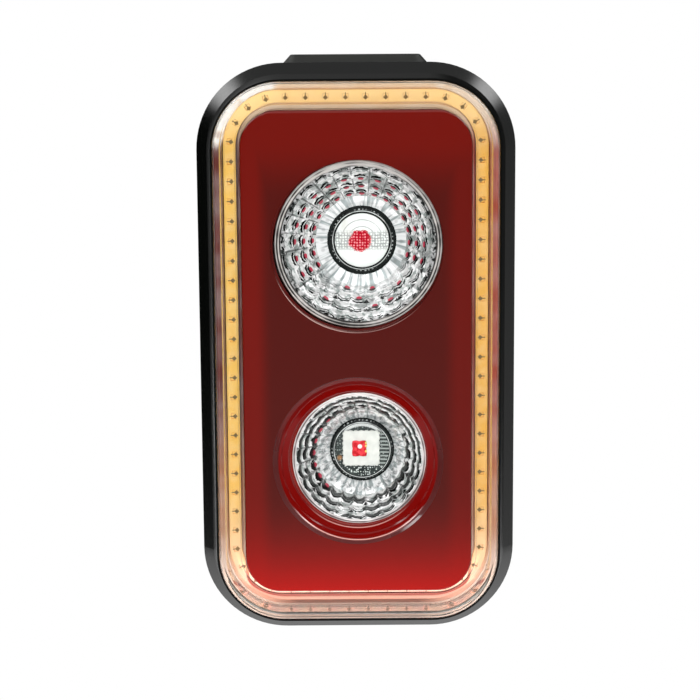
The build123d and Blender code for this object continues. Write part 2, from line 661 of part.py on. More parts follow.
def cross_disc(radius, front_y, back_y, mode=Mode.ADD):
    """A round disc across the light's depth, on the twist axis."""
    with BuildSketch(Plane.XZ.offset(-back_y)) as piece:
        Circle(radius)
    extrude(piece.sketch, amount=back_y - front_y, mode=mode)


# Quarter-turn foot on the light's back: plate, core and two tabs.
LIGHT_BACK_Y = FRONT_Y + BODY_BACK
with BuildPart() as bayonet_foot:
    cross_disc(12.6, FRONT_Y + FOOT_SEAT, LIGHT_BACK_Y)
    cross_disc(FOOT_R, LIGHT_BACK_Y, TAB_BACK_Y)
    for middle in (0, 180):
        cross_ring(FOOT_R - 1, TAB_R, middle, TAB_SPAN, TAB_FRONT_Y, TAB_BACK_Y)
    post(0.95, FOOT_SEAT - 1, BODY_BACK + 1, foot_spots, mode=Mode.SUBTRACT)
    post(1.65, BODY_BACK - 0.65, BODY_BACK, foot_spots, mode=Mode.SUBTRACT)
    cross_disc(5.5, TAB_BACK_Y - 2.6, TAB_BACK_Y, mode=Mode.SUBTRACT)
finish_part(bayonet_foot, "bayonet_foot")

# Seat post bracket: bayonet cup in front, saddle behind, a strap hook on each side.
BLOCK_HALF_X = 17.0
BLOCK_HALF_Z = 11.0
EDGE_BREAK = 0.6
with BuildPart() as post_bracket:
    with BuildSketch(Plane.XY.offset(-BLOCK_HALF_Z)) as block:
        with Locations((0, (CUP_FLOOR_Y - 7.0) / 2)):
            RectangleRounded(2 * BLOCK_HALF_X, -7.0 - CUP_FLOOR_Y, 2.4)
    extrude(block.sketch, amount=2 * BLOCK_HALF_Z)
    chamfer(post_bracket.faces().filter_by(Axis.Z).edges(), length=EDGE_BREAK)
    cross_disc(CUP_R, CUP_FRONT_Y, -14.0)
    chamfer(post_bracket.faces().sort_by(Axis.Y)[0].edges(), length=EDGE_BREAK)
    for side in (-1, 1):
        with BuildSketch(Plane.XY.offset(-2.4)) as hook:
            with BuildLine():
                near, far = side * (BLOCK_HALF_X - 1.0), side * 20.6
                neck = side * 19.8
                Polyline((near, -11.8), (far, -11.8), (far, -15.0), (neck, -15.0), (neck, -13.6),
                         (near, -13.6), close=True)
            make_face()
        extrude(hook.sketch, amount=4.8)
    with BuildSketch(Plane.XY.offset(-20)) as post_space:
        Circle(SADDLE_R)
    extrude(post_space.sketch, amount=40, mode=Mode.SUBTRACT)
    cross_disc(CUP_BORE_R, CUP_LIP_Y, CUP_FLOOR_Y, mode=Mode.SUBTRACT)
    cross_disc(MOUTH_R, CUP_FRONT_Y - 1, CUP_FLOOR_Y, mode=Mode.SUBTRACT)
    for middle in (90, 270):
        cross_ring(MOUTH_R - 1, CUP_BORE_R, middle, 180 - LIP_SPAN, CUP_FRONT_Y - 1, CUP_LIP_Y,
                   mode=Mode.SUBTRACT)
    # Two stops end the twist at the locked place and at the place where the light pulls off.
    for middle in (135, 315):
        cross_ring(MOUTH_R + 0.1, CUP_BORE_R + 0.1, middle, 22, CUP_LIP_Y, CUP_FLOOR_Y)
finish_part(post_bracket, "post_bracket")

# Saddle pad: rubber lining between the bracket and the post.
with BuildPart() as saddle_pad:
    with BuildSketch(Plane.XY.offset(-BLOCK_HALF_Z)) as lining:
        with BuildLine():
            outer_arc = CenterArc((0, 0), PAD_OUTER_R, 205, 130)
            inner_arc = CenterArc((0, 0), POST_R, 205, 130)
            Line(outer_arc @ 0, inner_arc @ 0)
            Line(outer_arc @ 1, inner_arc @ 1)
        make_face()
    extrude(lining.sketch, amount=2 * BLOCK_HALF_Z)
finish_part(saddle_pad, "saddle_pad")

# Strap: a rubber band round the back of the post, hooked at both sides.
STRAP_SIDE_X = 18.45
STRAP_TURN_Y = -9.0
STRAP_END_Y = -17.6
half_strap = STRAP_THICKNESS / 2
strap_mid_r = STRAP_INNER_R + half_strap
side_reach = math.hypot(STRAP_SIDE_X, STRAP_TURN_Y)
leave = math.atan2(STRAP_TURN_Y, STRAP_SIDE_X) + math.acos(strap_mid_r / side_reach)
with BuildPart() as post_strap:
    with BuildSketch(Plane.XY.offset(-STRAP_HALF_WIDTH)) as band:
        with BuildLine():
            sweep_angle = 180 - 2 * math.degrees(leave)
            far_arc = CenterArc((0, 0), STRAP_INNER_R + STRAP_THICKNESS, math.degrees(leave), sweep_angle)
            near_arc = CenterArc((0, 0), STRAP_INNER_R, math.degrees(leave), sweep_angle)
            Line(far_arc @ 0, near_arc @ 0)
            Line(far_arc @ 1, near_arc @ 1)
        make_face()
        for side in (-1, 1):
            out = (side * math.cos(leave) * half_strap, math.sin(leave) * half_strap)
            start = (side * math.cos(leave) * strap_mid_r, math.sin(leave) * strap_mid_r)
            turn = (side * STRAP_SIDE_X, STRAP_TURN_Y)
            with BuildLine():
                Polyline(
                    (start[0] + out[0], start[1] + out[1]),
                    (turn[0] + out[0], turn[1] + out[1]),
                    (turn[0] - out[0], turn[1] - out[1]),
                    (start[0] - out[0], start[1] - out[1]),
                    close=True,
                )
            make_face()
            with Locations(turn):
                Circle(half_strap)
            with Locations((side * STRAP_SIDE_X, (STRAP_TURN_Y + STRAP_END_Y) / 2)):
                Rectangle(STRAP_THICKNESS, STRAP_TURN_Y - STRAP_END_Y)
    extrude(band.sketch, amount=2 * STRAP_HALF_WIDTH)
    fillet(post_strap.faces().filter_by(Axis.Z).edges(), radius=0.6)
    # Slots for the hooks.
    for side in (-1, 1):
        with BuildSketch(Plane.YZ.offset(side * STRAP_SIDE_X - 3)) as slot:
            with Locations((-11.7, 0)):
                Rectangle(4.1, 5.4)
        extrude(slot.sketch, amount=6, mode=Mode.SUBTRACT)
finish_part(post_strap, "post_strap")

print("hinge line of the cover:", [round(value, 4) for value in hinge_point])
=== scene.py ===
# %% [markdown]
# A bicycle tail light: a black housing, a clear ring over a yellow light strip, a glossy red
# panel and two faceted optics. The solids come from the CAD frame, at their real size and in
# their real place. This lesson gives them finishes, and builds in mesh code what a plain solid
# can't show: the cut facets of the optics, the soft parts and the small marks of use.

# %% Load the frame
import math
from types import SimpleNamespace

import bmesh
import bpy
from mathutils import Matrix, Vector


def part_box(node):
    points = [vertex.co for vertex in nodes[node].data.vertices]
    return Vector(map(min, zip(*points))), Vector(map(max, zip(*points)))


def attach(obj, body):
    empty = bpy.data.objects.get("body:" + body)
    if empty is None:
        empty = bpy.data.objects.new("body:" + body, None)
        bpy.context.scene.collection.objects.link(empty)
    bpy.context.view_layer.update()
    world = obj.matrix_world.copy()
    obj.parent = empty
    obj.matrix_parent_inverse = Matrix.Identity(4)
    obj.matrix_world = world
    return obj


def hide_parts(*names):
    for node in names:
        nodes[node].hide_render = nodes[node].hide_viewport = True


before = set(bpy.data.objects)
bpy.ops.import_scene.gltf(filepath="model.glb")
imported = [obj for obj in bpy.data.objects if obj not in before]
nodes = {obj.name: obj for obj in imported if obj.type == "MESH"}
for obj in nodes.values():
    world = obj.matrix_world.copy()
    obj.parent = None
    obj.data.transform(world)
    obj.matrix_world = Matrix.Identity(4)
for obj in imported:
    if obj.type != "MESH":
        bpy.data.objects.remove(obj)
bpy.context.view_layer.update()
MM = 0.001

# %% [markdown]
# The camera stands about 0.23 m in front of the panel and a little above it, looking 9.5
# degrees down, which is why the top edge and its button show and the strip hides at the
# bottom. A long lens this close gives the slight taper of the outline towards its foot.

# %% Camera
PANEL_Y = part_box("red_panel")[0].y
LOOK_DOWN = math.radians(9.5)
CAMERA_REACH = 229.7 * MM
TARGET = Vector((-0.87 * MM, PANEL_Y, 0.9 * MM))
ROLL = math.radians(-0.4)
LENS_MM = 99.7
SENSOR_MM = 36.0
NEAR_CLIP = 0.01

camera_data = bpy.data.cameras.new("camera")
camera_data.lens = LENS_MM
camera_data.sensor_width = SENSOR_MM
camera_data.clip_start = NEAR_CLIP
camera = bpy.data.objects.new("camera", camera_data)
back = Vector((0, -math.cos(LOOK_DOWN), math.sin(LOOK_DOWN)))
camera.location = TARGET + back * CAMERA_REACH
aim = (-back).to_track_quat("-Z", "Y").to_matrix().to_4x4()
camera.rotation_euler = (aim @ Matrix.Rotation(ROLL, 4, "Z")).to_euler()
bpy.context.scene.collection.objects.link(camera)
bpy.context.scene.camera = camera
print("camera height in mm:", round(camera.location.z / MM, 1))

# %% [markdown]
# Every finish below is a node tree. One small function adds a node to a tree, with its options,
# its values and its links, and hands back what the node puts out. Another turns the sRGB hex
# values that a colour picker gives into the linear numbers that the renderer works in.

# %% Helpers for materials
# Options that these kinds have in every tree here, unless a call gives another.
USUAL = {"MapRange": {"interpolation_type": "SMOOTHSTEP"}, "Mix": {"data_type": "RGBA"}}


def linear(hex_colour):
    """An sRGB hex colour as linear RGBA."""
    channels = [int(hex_colour[i:i + 2], 16) / 255 for i in (1, 3, 5)]
    return [c / 12.92 if c <= 0.04045 else ((c + 0.055) / 1.055) ** 2.4 for c in channels] + [1.0]


def node_adder(tree):
    """The function that adds nodes to one tree."""
    def fill(socket, value):
        if isinstance(value, bpy.types.NodeSocket):
            tree.links.new(value, socket)
        else:
            socket.default_value = linear(value) if isinstance(value, str) else value

    def add(kind, *values, **settings):
        """Add a node and return its first output.

        "VectorMath:LENGTH" is a VectorMath node set to LENGTH, and a kind all in capitals is
        a Math node. The values fill the inputs in order, and those beyond the last input go
        to another such node after it. A setting with a capital fills the input of that name,
        with _ for a space, and any other is an option. A socket is linked and a hex string
        is a colour.
        """
        name, _, operation = ("Math:" + kind if kind.isupper() else kind).partition(":")
        node = tree.nodes.new("ShaderNode" + name)
        if operation:
            node.operation = operation
        for key, value in (USUAL.get(name, {}) | settings).items():
            if key[0].isupper():
                fill(node.inputs[key.replace("_", " ")], value)
            else:
                setattr(node, key, value)
        inputs = [socket for socket in node.inputs if socket.enabled]
        for socket, value in zip(inputs, values):
            fill(socket, value)
        result = next((socket for socket in node.outputs if socket.enabled), None)
        rest = values[len(inputs):]
        return add(kind, result, *rest) if rest else result

    return add


def new_material(name):
    """An empty material, the function that adds its nodes, and its object coordinates."""
    material = bpy.data.materials.new(name)
    material.use_nodes = True
    material.node_tree.nodes.clear()
    add = node_adder(material.node_tree)
    return material, add, add("TexCoord").node.outputs["Object"]


print("#808080 in linear light:", round(linear("#808080")[0], 3))

# %% [markdown]
# The stage is a white studio table under soft light. It stands low, so that views from a little
# below still see the light. A big soft box stands behind the camera, another above it, and one
# behind the light for the views of its back. They are flagged off for reflections, so they light
# the deep channel of the strip and leave the flat panel its deep red. What the gloss parts do
# reflect is set by direction: a dim front that grows paler downwards, a canopy above the front,
# a pale ceiling, a pale right side, a black left side, and two soft spots at 45 degrees that put
# the glints on the bezel's upper corners. To the camera, and straight through clear plastic, the
# surroundings are plain white. A panorama of a real studio would light the scene too, but a
# world of a few soft ramps can be set one reflection at a time.

# %% Stage
FLOOR_Z = -0.26
TABLE = ((-0.72, 0.72), (-0.55, 1.65))
TABLE_GLOSS = 1.35
TABLE_FRONT = 0.03
TABLE_REAR_LEFT = 3.1
TABLE_REAR_RIGHT = 0.12

(left, right), (front, rear) = TABLE
corners = ((left, front), (right, front), (right, rear), (left, rear))
floor_mesh = bpy.data.meshes.new("floor")
floor_mesh.from_pydata([(x, y, FLOOR_Z) for x, y in corners], [], [(0, 1, 2, 3)])
floor = bpy.data.objects.new("floor", floor_mesh)
bpy.context.scene.collection.objects.link(floor)

floor_paint, add, place = new_material("matt_white_table")
rays = add("LightPath").node.outputs
spot = add("SeparateXYZ", place).node.outputs
seen = add("MAXIMUM", *[rays[f"Is {kind} Ray"] for kind in ("Camera", "Glossy", "Transmission")])
near = add("MapRange", spot["Y"], -0.29, -0.17, TABLE_FRONT, TABLE_GLOSS)
sides = add("MapRange", spot["X"], -0.3, 0.3, TABLE_REAR_LEFT, TABLE_REAR_RIGHT)
mirrored = add("Mix", add("MapRange", spot["Y"], 0.65, 1.05), near, sides, data_type="FLOAT")
shine = add("Mix", rays["Is Glossy Ray"], 1.0, mirrored, data_type="FLOAT")
tone = add("Mix", add("TexNoise", Scale=1 / (2 * MM)), "#e2e2e0", "#e8e8e6")
matt = add("BsdfDiffuse", Color=tone)
glow = add("Emission", Color="#ffffff", Strength=shine)
add("OutputMaterial", add("MixShader", seen, matt, glow))
floor_mesh.materials.append(floor_paint)
print("table nodes:", len(floor_paint.node_tree.nodes))

# %% World
DIFFUSE_FILL = 0.4
FRONT_DIM = 0.04
FRONT_PALE = 0.3
CEILING = 0.4
RIGHT_SIDE = 0.25
REAR_LEFT = 0.45
REAR_RIGHT_DARK = 0.95
CANOPY = 1.2
CORNER_GLINT = 8.0
GLINTS = ((-0.76, 0.02, 0.65), (0.76, 0.02, 0.65))
GLINT_EDGE = (0.955, 0.999)

world = bpy.data.worlds.new("studio")
bpy.context.scene.world = world
world.use_nodes = True
world.node_tree.nodes.clear()
add = node_adder(world.node_tree)
rays = add("LightPath").node.outputs
direction = add("TexCoord").node.outputs["Generated"]
axes = add("SeparateXYZ", direction).node.outputs

down = add("MapRange", axes["Z"], 0.0, -0.35, interpolation_type="LINEAR")
room = add("ADD", add("MULTIPLY_ADD", add("POWER", down, 1.5), FRONT_PALE, FRONT_DIM),
           add("MapRange", axes["Z"], 0.35, 0.85, 0.0, CEILING),
           add("MapRange", axes["X"], 0.75, 0.95, 0.0, RIGHT_SIDE),
           add("MULTIPLY", add("MapRange", axes["Y"], 0.3, 0.8, 0.0, REAR_LEFT),
               add("MapRange", axes["X"], 0.0, -0.4)))
rear_right = add("MULTIPLY", add("MapRange", axes["Y"], 0.3, 0.6, 0.0, REAR_RIGHT_DARK),
                 add("MapRange", axes["X"], 0.0, 0.3))
room = add("MULTIPLY", room, add("SUBTRACT", 1.0, rear_right),
           add("MapRange", axes["X"], -0.75, -0.95, 1.0, 0.0))
canopy = add("MULTIPLY", add("MapRange", axes["Z"], 0.55, 0.7, 0.0, CANOPY),
             add("MapRange", axes["Z"], 0.92, 0.84), add("MapRange", axes["Y"], -0.1, -0.35))
nearness = [add("VectorMath:DOT_PRODUCT", direction, towards) for towards in GLINTS]
glints = [add("MapRange", near, *GLINT_EDGE, 0.0, CORNER_GLINT) for near in nearness]
room = add("ADD", room, canopy, *glints)
after_gloss = add("MULTIPLY", rays["Is Transmission Ray"],
                  add("GREATER_THAN", rays["Glossy Depth"], 0.5))
reflected = add("MAXIMUM", rays["Is Glossy Ray"], after_gloss)
fill_or_room = add("Mix", reflected, DIFFUSE_FILL, room, data_type="FLOAT")
seen = add("SUBTRACT", add("MAXIMUM", rays["Is Camera Ray"], rays["Is Transmission Ray"]),
           after_gloss)
strength = add("Mix", seen, fill_or_room, 1.0, data_type="FLOAT")
add("OutputWorld", add("Background", Color="#ffffff", Strength=strength))
print("world nodes:", len(world.node_tree.nodes))

# %% Lamps
BOX_REACH = 0.6


def soft_box(name, towards, side, radiance):
    """A square soft box that faces the light, as bright to the eye as the radiance says."""
    lamp = bpy.data.lights.new(name, "AREA")
    lamp.shape = "RECTANGLE"
    lamp.size = lamp.size_y = side
    lamp.energy = radiance * math.pi * side * side
    holder = bpy.data.objects.new(name, lamp)
    place = Vector(towards).normalized() * BOX_REACH
    holder.location = place + Vector((0, PANEL_Y, 0))
    holder.rotation_euler = place.to_track_quat("Z", "Y").to_euler()
    holder.visible_glossy = False
    holder.visible_transmission = False
    bpy.context.scene.collection.objects.link(holder)


soft_box("front_box", (0, -1, 0.05), 0.32, 8.0)
soft_box("top_box", (0, -1, 1.0), 0.32, 5.0)
soft_box("rear_box", (-0.7, 1.0, 0.6), 0.4, 8.0)
print("soft boxes:", ", ".join(lamp.name for lamp in bpy.data.lights))

# %% [markdown]
# The bezel and the housing are one family of black plastic. The housing is moulded ABS from a
# spark-eroded tool, whose fine grain of about 0.15 mm breaks up the light. The bezel comes from
# a polished tool, so it is gloss, with only the slow waviness that cooling leaves. Silicone and
# nylon are duller still, because their surfaces scatter light. An image could give the grain, but
# noise in object coordinates needs no unwrapping and has its spots at their real size.

# %% Black plastics
WAVE_MM = 9.0


def moulded_plastic(name, dark, pale, roughness, grain_mm, grain_depth_mm, wave_depth_mm=0.0):
    """Moulded plastic with a fine grain and, on gloss parts, a slow waviness."""
    material, add, place = new_material(name)
    grain = add("TexNoise", place, 1 / (grain_mm * MM))
    wave = add("TexNoise", place, 1 / (WAVE_MM * MM), 1.0)
    grained = add("Bump", Height=grain, Distance=grain_depth_mm * MM, Strength=0.5)
    rough = add("MapRange", grain, 0.0, 1.0, roughness - 0.04, roughness + 0.04,
                interpolation_type="LINEAR")
    add("OutputMaterial", add("BsdfPrincipled", Base_Color=add("Mix", wave, dark, pale), IOR=1.5,
                              Roughness=rough, Normal=add("Bump", Height=wave, Normal=grained,
                                                          Distance=wave_depth_mm * MM)))
    return material


abs_black = moulded_plastic("moulded_abs_black", "#141516", "#191a1a", 0.45, 0.15, 0.03)
bezel_black = moulded_plastic("polished_polycarbonate_black", "#030403", "#060706", 0.2, 0.3, 0.001,
                              wave_depth_mm=0.01)
silicone_black = moulded_plastic("moulded_silicone_black", "#131411", "#181916", 0.55, 0.1, 0.02)
nylon_black = moulded_plastic("glass_filled_nylon_black", "#18181a", "#1e1e20", 0.5, 0.25, 0.04)
blacks = (abs_black, bezel_black, silicone_black, nylon_black)
print("black plastics:", ", ".join(material.name for material in blacks))

# %% [markdown]
# The red panel is gloss polycarbonate, coloured right through. Light that enters at its edges
# runs inside it and comes out near them, so the edges glow and the middle is a dull, dark red.
# The glow is strongest at the foot, where the pale table sends light up into the edge. The
# collar round the lower optic is thinner and dished, so it shows a purer red than the plateau.
# The collar's lip and the top edge of the panel are a little duller, from the tool's parting
# line. The lip is painted darker on its lower part as shade, and thin pale lines of painted
# highlight mark the collar's steps and the bevel of the upper opening.
# A coloured volume would give such depth by itself, but slowly and with grain, so the shades are
# painted here as ramps along the panel's own axes.

# %% Red panel
panel_low, panel_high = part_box("red_panel")
LOWER_Z, UPPER_Z = [sum(corner.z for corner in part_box(name)) / 2
                    for name in ("lower_optic", "upper_optic")]
BEVEL_HIGHLIGHT_MM = 10.24
BEVEL_SHIFT_MM = 0.06
COLLAR_MM = (9.95, 10.3)
COLLAR_LIP_MM = (9.5, 9.65)
COLLAR_DROP_MM = 0.3
COLLAR_HIGHLIGHTS_MM = ((8.2, 0.6), (9.5, 0.8))
POLISHED = 0.07
DULLED = 0.5
FOOT_GLOW_MM = 14.5
HEAD_GLOW_MM = 11.0
SIDE_GLOW_MM = 3.6

red_polycarbonate, add, place = new_material("tinted_polycarbonate_red")
axes = add("SeparateXYZ", place).node.outputs
foot = add("MapRange", axes["Z"], panel_low.z, panel_low.z + FOOT_GLOW_MM * MM, 1.0, 0.0,
           interpolation_type="LINEAR")
head = add("MapRange", axes["Z"], panel_high.z - HEAD_GLOW_MM * MM, panel_high.z - 3 * MM)
sides = add("MULTIPLY", add("MapRange", add("ABSOLUTE", axes["X"]),
                            panel_high.x - SIDE_GLOW_MM * MM, panel_high.x - 1.5 * MM),
            add("MapRange", axes["X"], -5 * MM, 5 * MM, 1.0, 0.65))
colour = add("Mix", add("MAXIMUM", head, sides), "#480e09", "#640d06")
colour = add("Mix", add("POWER", foot, 2.5), colour, "#a60e08")
from_optic = add("VectorMath:DISTANCE", place, (0, PANEL_Y, LOWER_Z))
from_dish = add("VectorMath:DISTANCE", place, (0, PANEL_Y, LOWER_Z - COLLAR_DROP_MM * MM))
in_collar = add("MapRange", from_optic, COLLAR_MM[0] * MM, COLLAR_MM[1] * MM, 1.0, 0.0)
colour = add("Mix", in_collar, colour, "#6c0200")
lip = add("MULTIPLY", add("MapRange", from_dish, COLLAR_LIP_MM[0] * MM, COLLAR_LIP_MM[1] * MM),
          add("MapRange", from_optic, 10.18 * MM, 10.26 * MM, 1.0, 0.0))
# Painted shade: the collar's lip is darker on its lower part.
lip_painted_shade = add("MULTIPLY", lip,
                add("MapRange", axes["Z"], LOWER_Z + 1 * MM, LOWER_Z + 6 * MM, 0.8, 0.2))
colour = add("Mix", lip_painted_shade, colour, "#420301")

# %% Painted highlights and dulled edges of the panel
glint = add("MULTIPLY", add("MapRange", axes["X"], 3.2 * MM, 4.4 * MM),
            add("MapRange", axes["Z"], LOWER_Z - 6.4 * MM, LOWER_Z - 7.0 * MM),
            add("MapRange", from_optic, 9.9 * MM, 9.98 * MM))
dull_lip = add("MULTIPLY", lip,
               add("MapRange", axes["Z"], LOWER_Z + 3 * MM, LOWER_Z - 3 * MM, 0.25, 1.0),
               add("SUBTRACT", 1.0, glint))
top_edge = add("MapRange", axes["Z"], panel_high.z - 0.35 * MM, panel_high.z - 0.15 * MM)
dulled = add("MAXIMUM", dull_lip, top_edge)
# Painted highlight: the two steps of the collar show as a thin pale line at its foot.
for reach_mm, strength in COLLAR_HIGHLIGHTS_MM:
    off_step = add("ABSOLUTE", add("SUBTRACT", from_dish, reach_mm * MM))
    step_highlight = add("MULTIPLY", add("MapRange", off_step, 0.01 * MM, 0.08 * MM, strength, 0.0),
               add("MapRange", axes["Z"], LOWER_Z - 5.5 * MM, LOWER_Z - 8.5 * MM))
    colour = add("Mix", step_highlight, colour, "#f4b8ae")
# A painted highlight: the upper opening's bevel shows as a thin pale line, brightest at its lower
# left.
from_bevel = add("VectorMath:DISTANCE", place, (BEVEL_SHIFT_MM * MM, PANEL_Y, UPPER_Z))
off_bevel = add("ABSOLUTE", add("SUBTRACT", from_bevel, BEVEL_HIGHLIGHT_MM * MM))
bevel = add("MULTIPLY", add("MapRange", off_bevel, 0.01 * MM, 0.07 * MM, 0.7, 0.0),
            add("MapRange", axes["Z"], UPPER_Z - 3 * MM, UPPER_Z - 6 * MM),
            add("MapRange", axes["X"], -5 * MM, 1 * MM, 1.0, 0.3),
            add("MapRange", axes["X"], 4 * MM, 8 * MM, 1.0, 0.0))
colour = add("Mix", bevel, colour, "#f2cfc6")
wave = add("Bump", Height=add("TexNoise", place, 1 / (14 * MM)), Distance=0.01 * MM)
add("OutputMaterial", add("BsdfPrincipled", Base_Color=colour, IOR=1.585, Normal=wave,
                          Roughness=add("MULTIPLY_ADD", dulled, DULLED, POLISHED)))
print("panel:", [round(size / MM, 1) for size in panel_high - panel_low], "mm")

# %% [markdown]
# The ring over the light strip is water-clear polycarbonate. Light has to reach the strip
# through it, so the ring throws no shadow of its own, and it bends what is behind it with
# polycarbonate's index of 1.585. Plain transparency would be quicker, but the strip would lose
# the slight shift and the bright rims that show that there is something in front of it.

# %% Clear ring
clear_polycarbonate, add, place = new_material("clear_polycarbonate")
tone = add("Mix", add("TexNoise", place, 1 / (6 * MM)), "#fbfaf4", "#ffffff")
wave = add("Bump", Height=add("TexNoise", place, 1 / (5 * MM)), Distance=0.02 * MM)
add("OutputMaterial", add("BsdfPrincipled", Base_Color=tone, Roughness=0.015, IOR=1.585,
                          Transmission_Weight=1.0, Normal=wave))
print("clear ring:", clear_polycarbonate.name)

# %% [markdown]
# Behind the ring lies the light strip: small dies on a white flexible board, under a yellow
# coating that turns their blue light white. The coating fluoresces, so in daylight it gives back
# a little more yellow than a plain paint would. No shader does that, so a weak glow in its own
# colour stands in for it, and it also paints light: it grows at the foot. The coating's lower part
# and the chips at the foot are painted paler, and each side and end of the strip has its own
# colour, painted for how the light falls there. Along the foot it mirrors the side of the red
# panel as one thin line of painted reflection.
# The channel round it is pale plastic, and its colour paints the light that reaches it: a peach
# tint from the strip and from the red panel beside it, deeper on the long sides, and nearly white
# at the ends and in the upper left corner, where the ring gathers light, with a weak glow added
# there and beside the strip at the foot. Below the strip its wall shows one brown line of painted
# shade, where the ring shades it.

# %% Strip coating and chips
GLOW_FLUORESCENT_AND_PAINTED = 0.12
FOOT_PAINTED_GLOW = 0.42
STRIP_WIDTH = 1.5
STRIP_CORNER = 6.0
RED_LINE_MM = (-0.9, 0.62)
strip_low, strip_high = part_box("strip_coating")
HALF_X = strip_high.x / MM - STRIP_WIDTH / 2
HALF_Z = strip_high.z / MM - STRIP_WIDTH / 2


def by_end(add, axes, left, right, top, bottom):
    """A colour for each long side and each end of the channel, blended at the corners, painting how
    the light falls on each.
    """
    sides = add("Mix", add("MapRange", axes["X"], -10 * MM, 10 * MM), left, right)
    ends = add("Mix", add("MapRange", axes["Z"], -10 * MM, 10 * MM), bottom, top)
    at_end = add("MAXIMUM", add("MapRange", axes["Z"], 24 * MM, 29 * MM),
                 add("MapRange", axes["Z"], -20 * MM, -28 * MM))
    return add("Mix", at_end, sides, ends)


phosphor_silicone, add, place = new_material("phosphor_silicone_yellow")
axes = add("SeparateXYZ", place).node.outputs
# Painted light: each side and end of the coating has its own colour, for how the light falls on it.
tone = by_end(add, axes, "#f9ca5e", "#efba4e", "#ffe6a4", "#f6c8ba")
# Painted light: the coating is paler in its lower part.
paler = add("MULTIPLY", add("MapRange", axes["Z"], -16 * MM, -24 * MM, 0.0, 0.6),
            add("MapRange", axes["Z"], -30 * MM, -26 * MM))
tone = add("Mix", paler, tone, "#fbe2b0")
tone = add("Mix", add("MapRange", add("TexNoise", place, 1 / (1.5 * MM)), 0.3, 0.7, 0.0, 0.25),
           tone, "#ffeec0")
over = [add("MAXIMUM", add("ADD", add("ABSOLUTE", axes[axis]), (STRIP_CORNER - half) * MM), 0.0)
        for axis, half in (("X", HALF_X), ("Z", HALF_Z))]
outside = add("SQRT", add("ADD", *[add("MULTIPLY", way, way) for way in over]))
beyond = add("MULTIPLY_ADD", outside, 1 / MM, -STRIP_CORNER)
at_foot = add("MapRange", axes["Z"], -25 * MM, -29 * MM)
# Painted reflection of the red panel's side, one thin line along the foot.
line_place = add("MapRange", axes["Z"], -26 * MM, -30.3 * MM, *RED_LINE_MM)
off_line = add("ABSOLUTE", add("SUBTRACT", beyond, line_place))
red_line = add("MULTIPLY", add("MapRange", off_line, 0.1, 0.2, 0.9, 0.0), at_foot)
tone = add("Mix", red_line, tone, "#a8483e")
# Glow for the coating's fluorescence, and painted light that grows at the foot.
glow_fluorescent_and_painted = add("ADD", add("MapRange", axes["Z"], -26 * MM, -30 * MM, GLOW_FLUORESCENT_AND_PAINTED, FOOT_PAINTED_GLOW),
               add("MULTIPLY", add("MapRange", beyond, 0.3, 0.0, 0.0, 0.75), at_foot))
glow_colour = add("Mix", at_foot, "#ffc070", tone)
add("OutputMaterial", add("BsdfPrincipled", Base_Color=tone, Roughness=0.45, IOR=1.45,
                          Emission_Color=glow_colour, Emission_Strength=glow_fluorescent_and_painted))

chip_epoxy, add, place = new_material("chip_epoxy_brown")
axes = add("SeparateXYZ", place).node.outputs
tone = add("Mix", add("TexNoise", place, 1 / (0.3 * MM)), "#8c7848", "#76623a")
# Painted light: the chips are paler towards the foot.
tone = add("Mix", add("MapRange", axes["Z"], -26 * MM, -31 * MM, 0.0, 0.8), tone, "#f0cdb8")
add("OutputMaterial", add("BsdfPrincipled", Base_Color=tone, Roughness=0.3, IOR=1.5))
print("strip centreline, half sizes in mm:", round(HALF_X, 2), round(HALF_Z, 2))

# %% Channel
LEDGE_MM = (0.4, 2.1)
CORNER_REACH_MM = (40.6, 41.8)

channel_abs, add, place = new_material("channel_abs_peach_painted_light")
axes = add("SeparateXYZ", place).node.outputs
across = add("ABSOLUTE", axes["X"])
# Painted light: the long sides take a red-brown tint from the panel, peach lower down, and the ends
# are paler.
lower_side = add("MapRange", axes["Z"], -4 * MM, -20 * MM, 0.0, 0.75)
sides = [add("Mix", lower_side, shade, "#d89a70") for shade in ("#6c2a22", "#aa3e22")]
tone = by_end(add, axes, *sides, "#f6d4ac", "#ffe0cc")
tone = add("Mix", add("MapRange", add("TexNoise", place, 1 / (4 * MM)), 0.3, 0.7, 0.0, 0.15), tone,
           "#ffffff")
# Painted light: a nearly white patch in the upper left corner, where the ring gathers light.
corner = add("MULTIPLY", add("MapRange", add("ADD", across, axes["Z"]),
                             *[reach * MM for reach in CORNER_REACH_MM]),
             add("MapRange", add("TexNoise", place, 1 / (2 * MM)), 0.35, 0.5, 0.4, 1.0),
             add("MapRange", axes["X"], -5 * MM, 5 * MM, 1.0, 0.3))
tone = add("Mix", corner, tone, "#fffaf4")
forward = add("MULTIPLY_ADD", axes["Y"], -1 / MM, strip_low.y / MM)
# Painted shade: a brown line on the wall below the strip, where the ring shades it.
ledge_painted_shade = add("MULTIPLY", add("MapRange", forward, LEDGE_MM[0], LEDGE_MM[0] + 0.3, 0.0, 0.9),
            add("MapRange", forward, LEDGE_MM[1] - 0.2, LEDGE_MM[1] + 0.2, 1.0, 0.1),
            add("MapRange", axes["Z"], -25 * MM, -29 * MM),
            add("MapRange", across, 7 * MM, 12 * MM, 1.0, 0.0))
tone = add("Mix", ledge_painted_shade, tone, "#7c5c50")
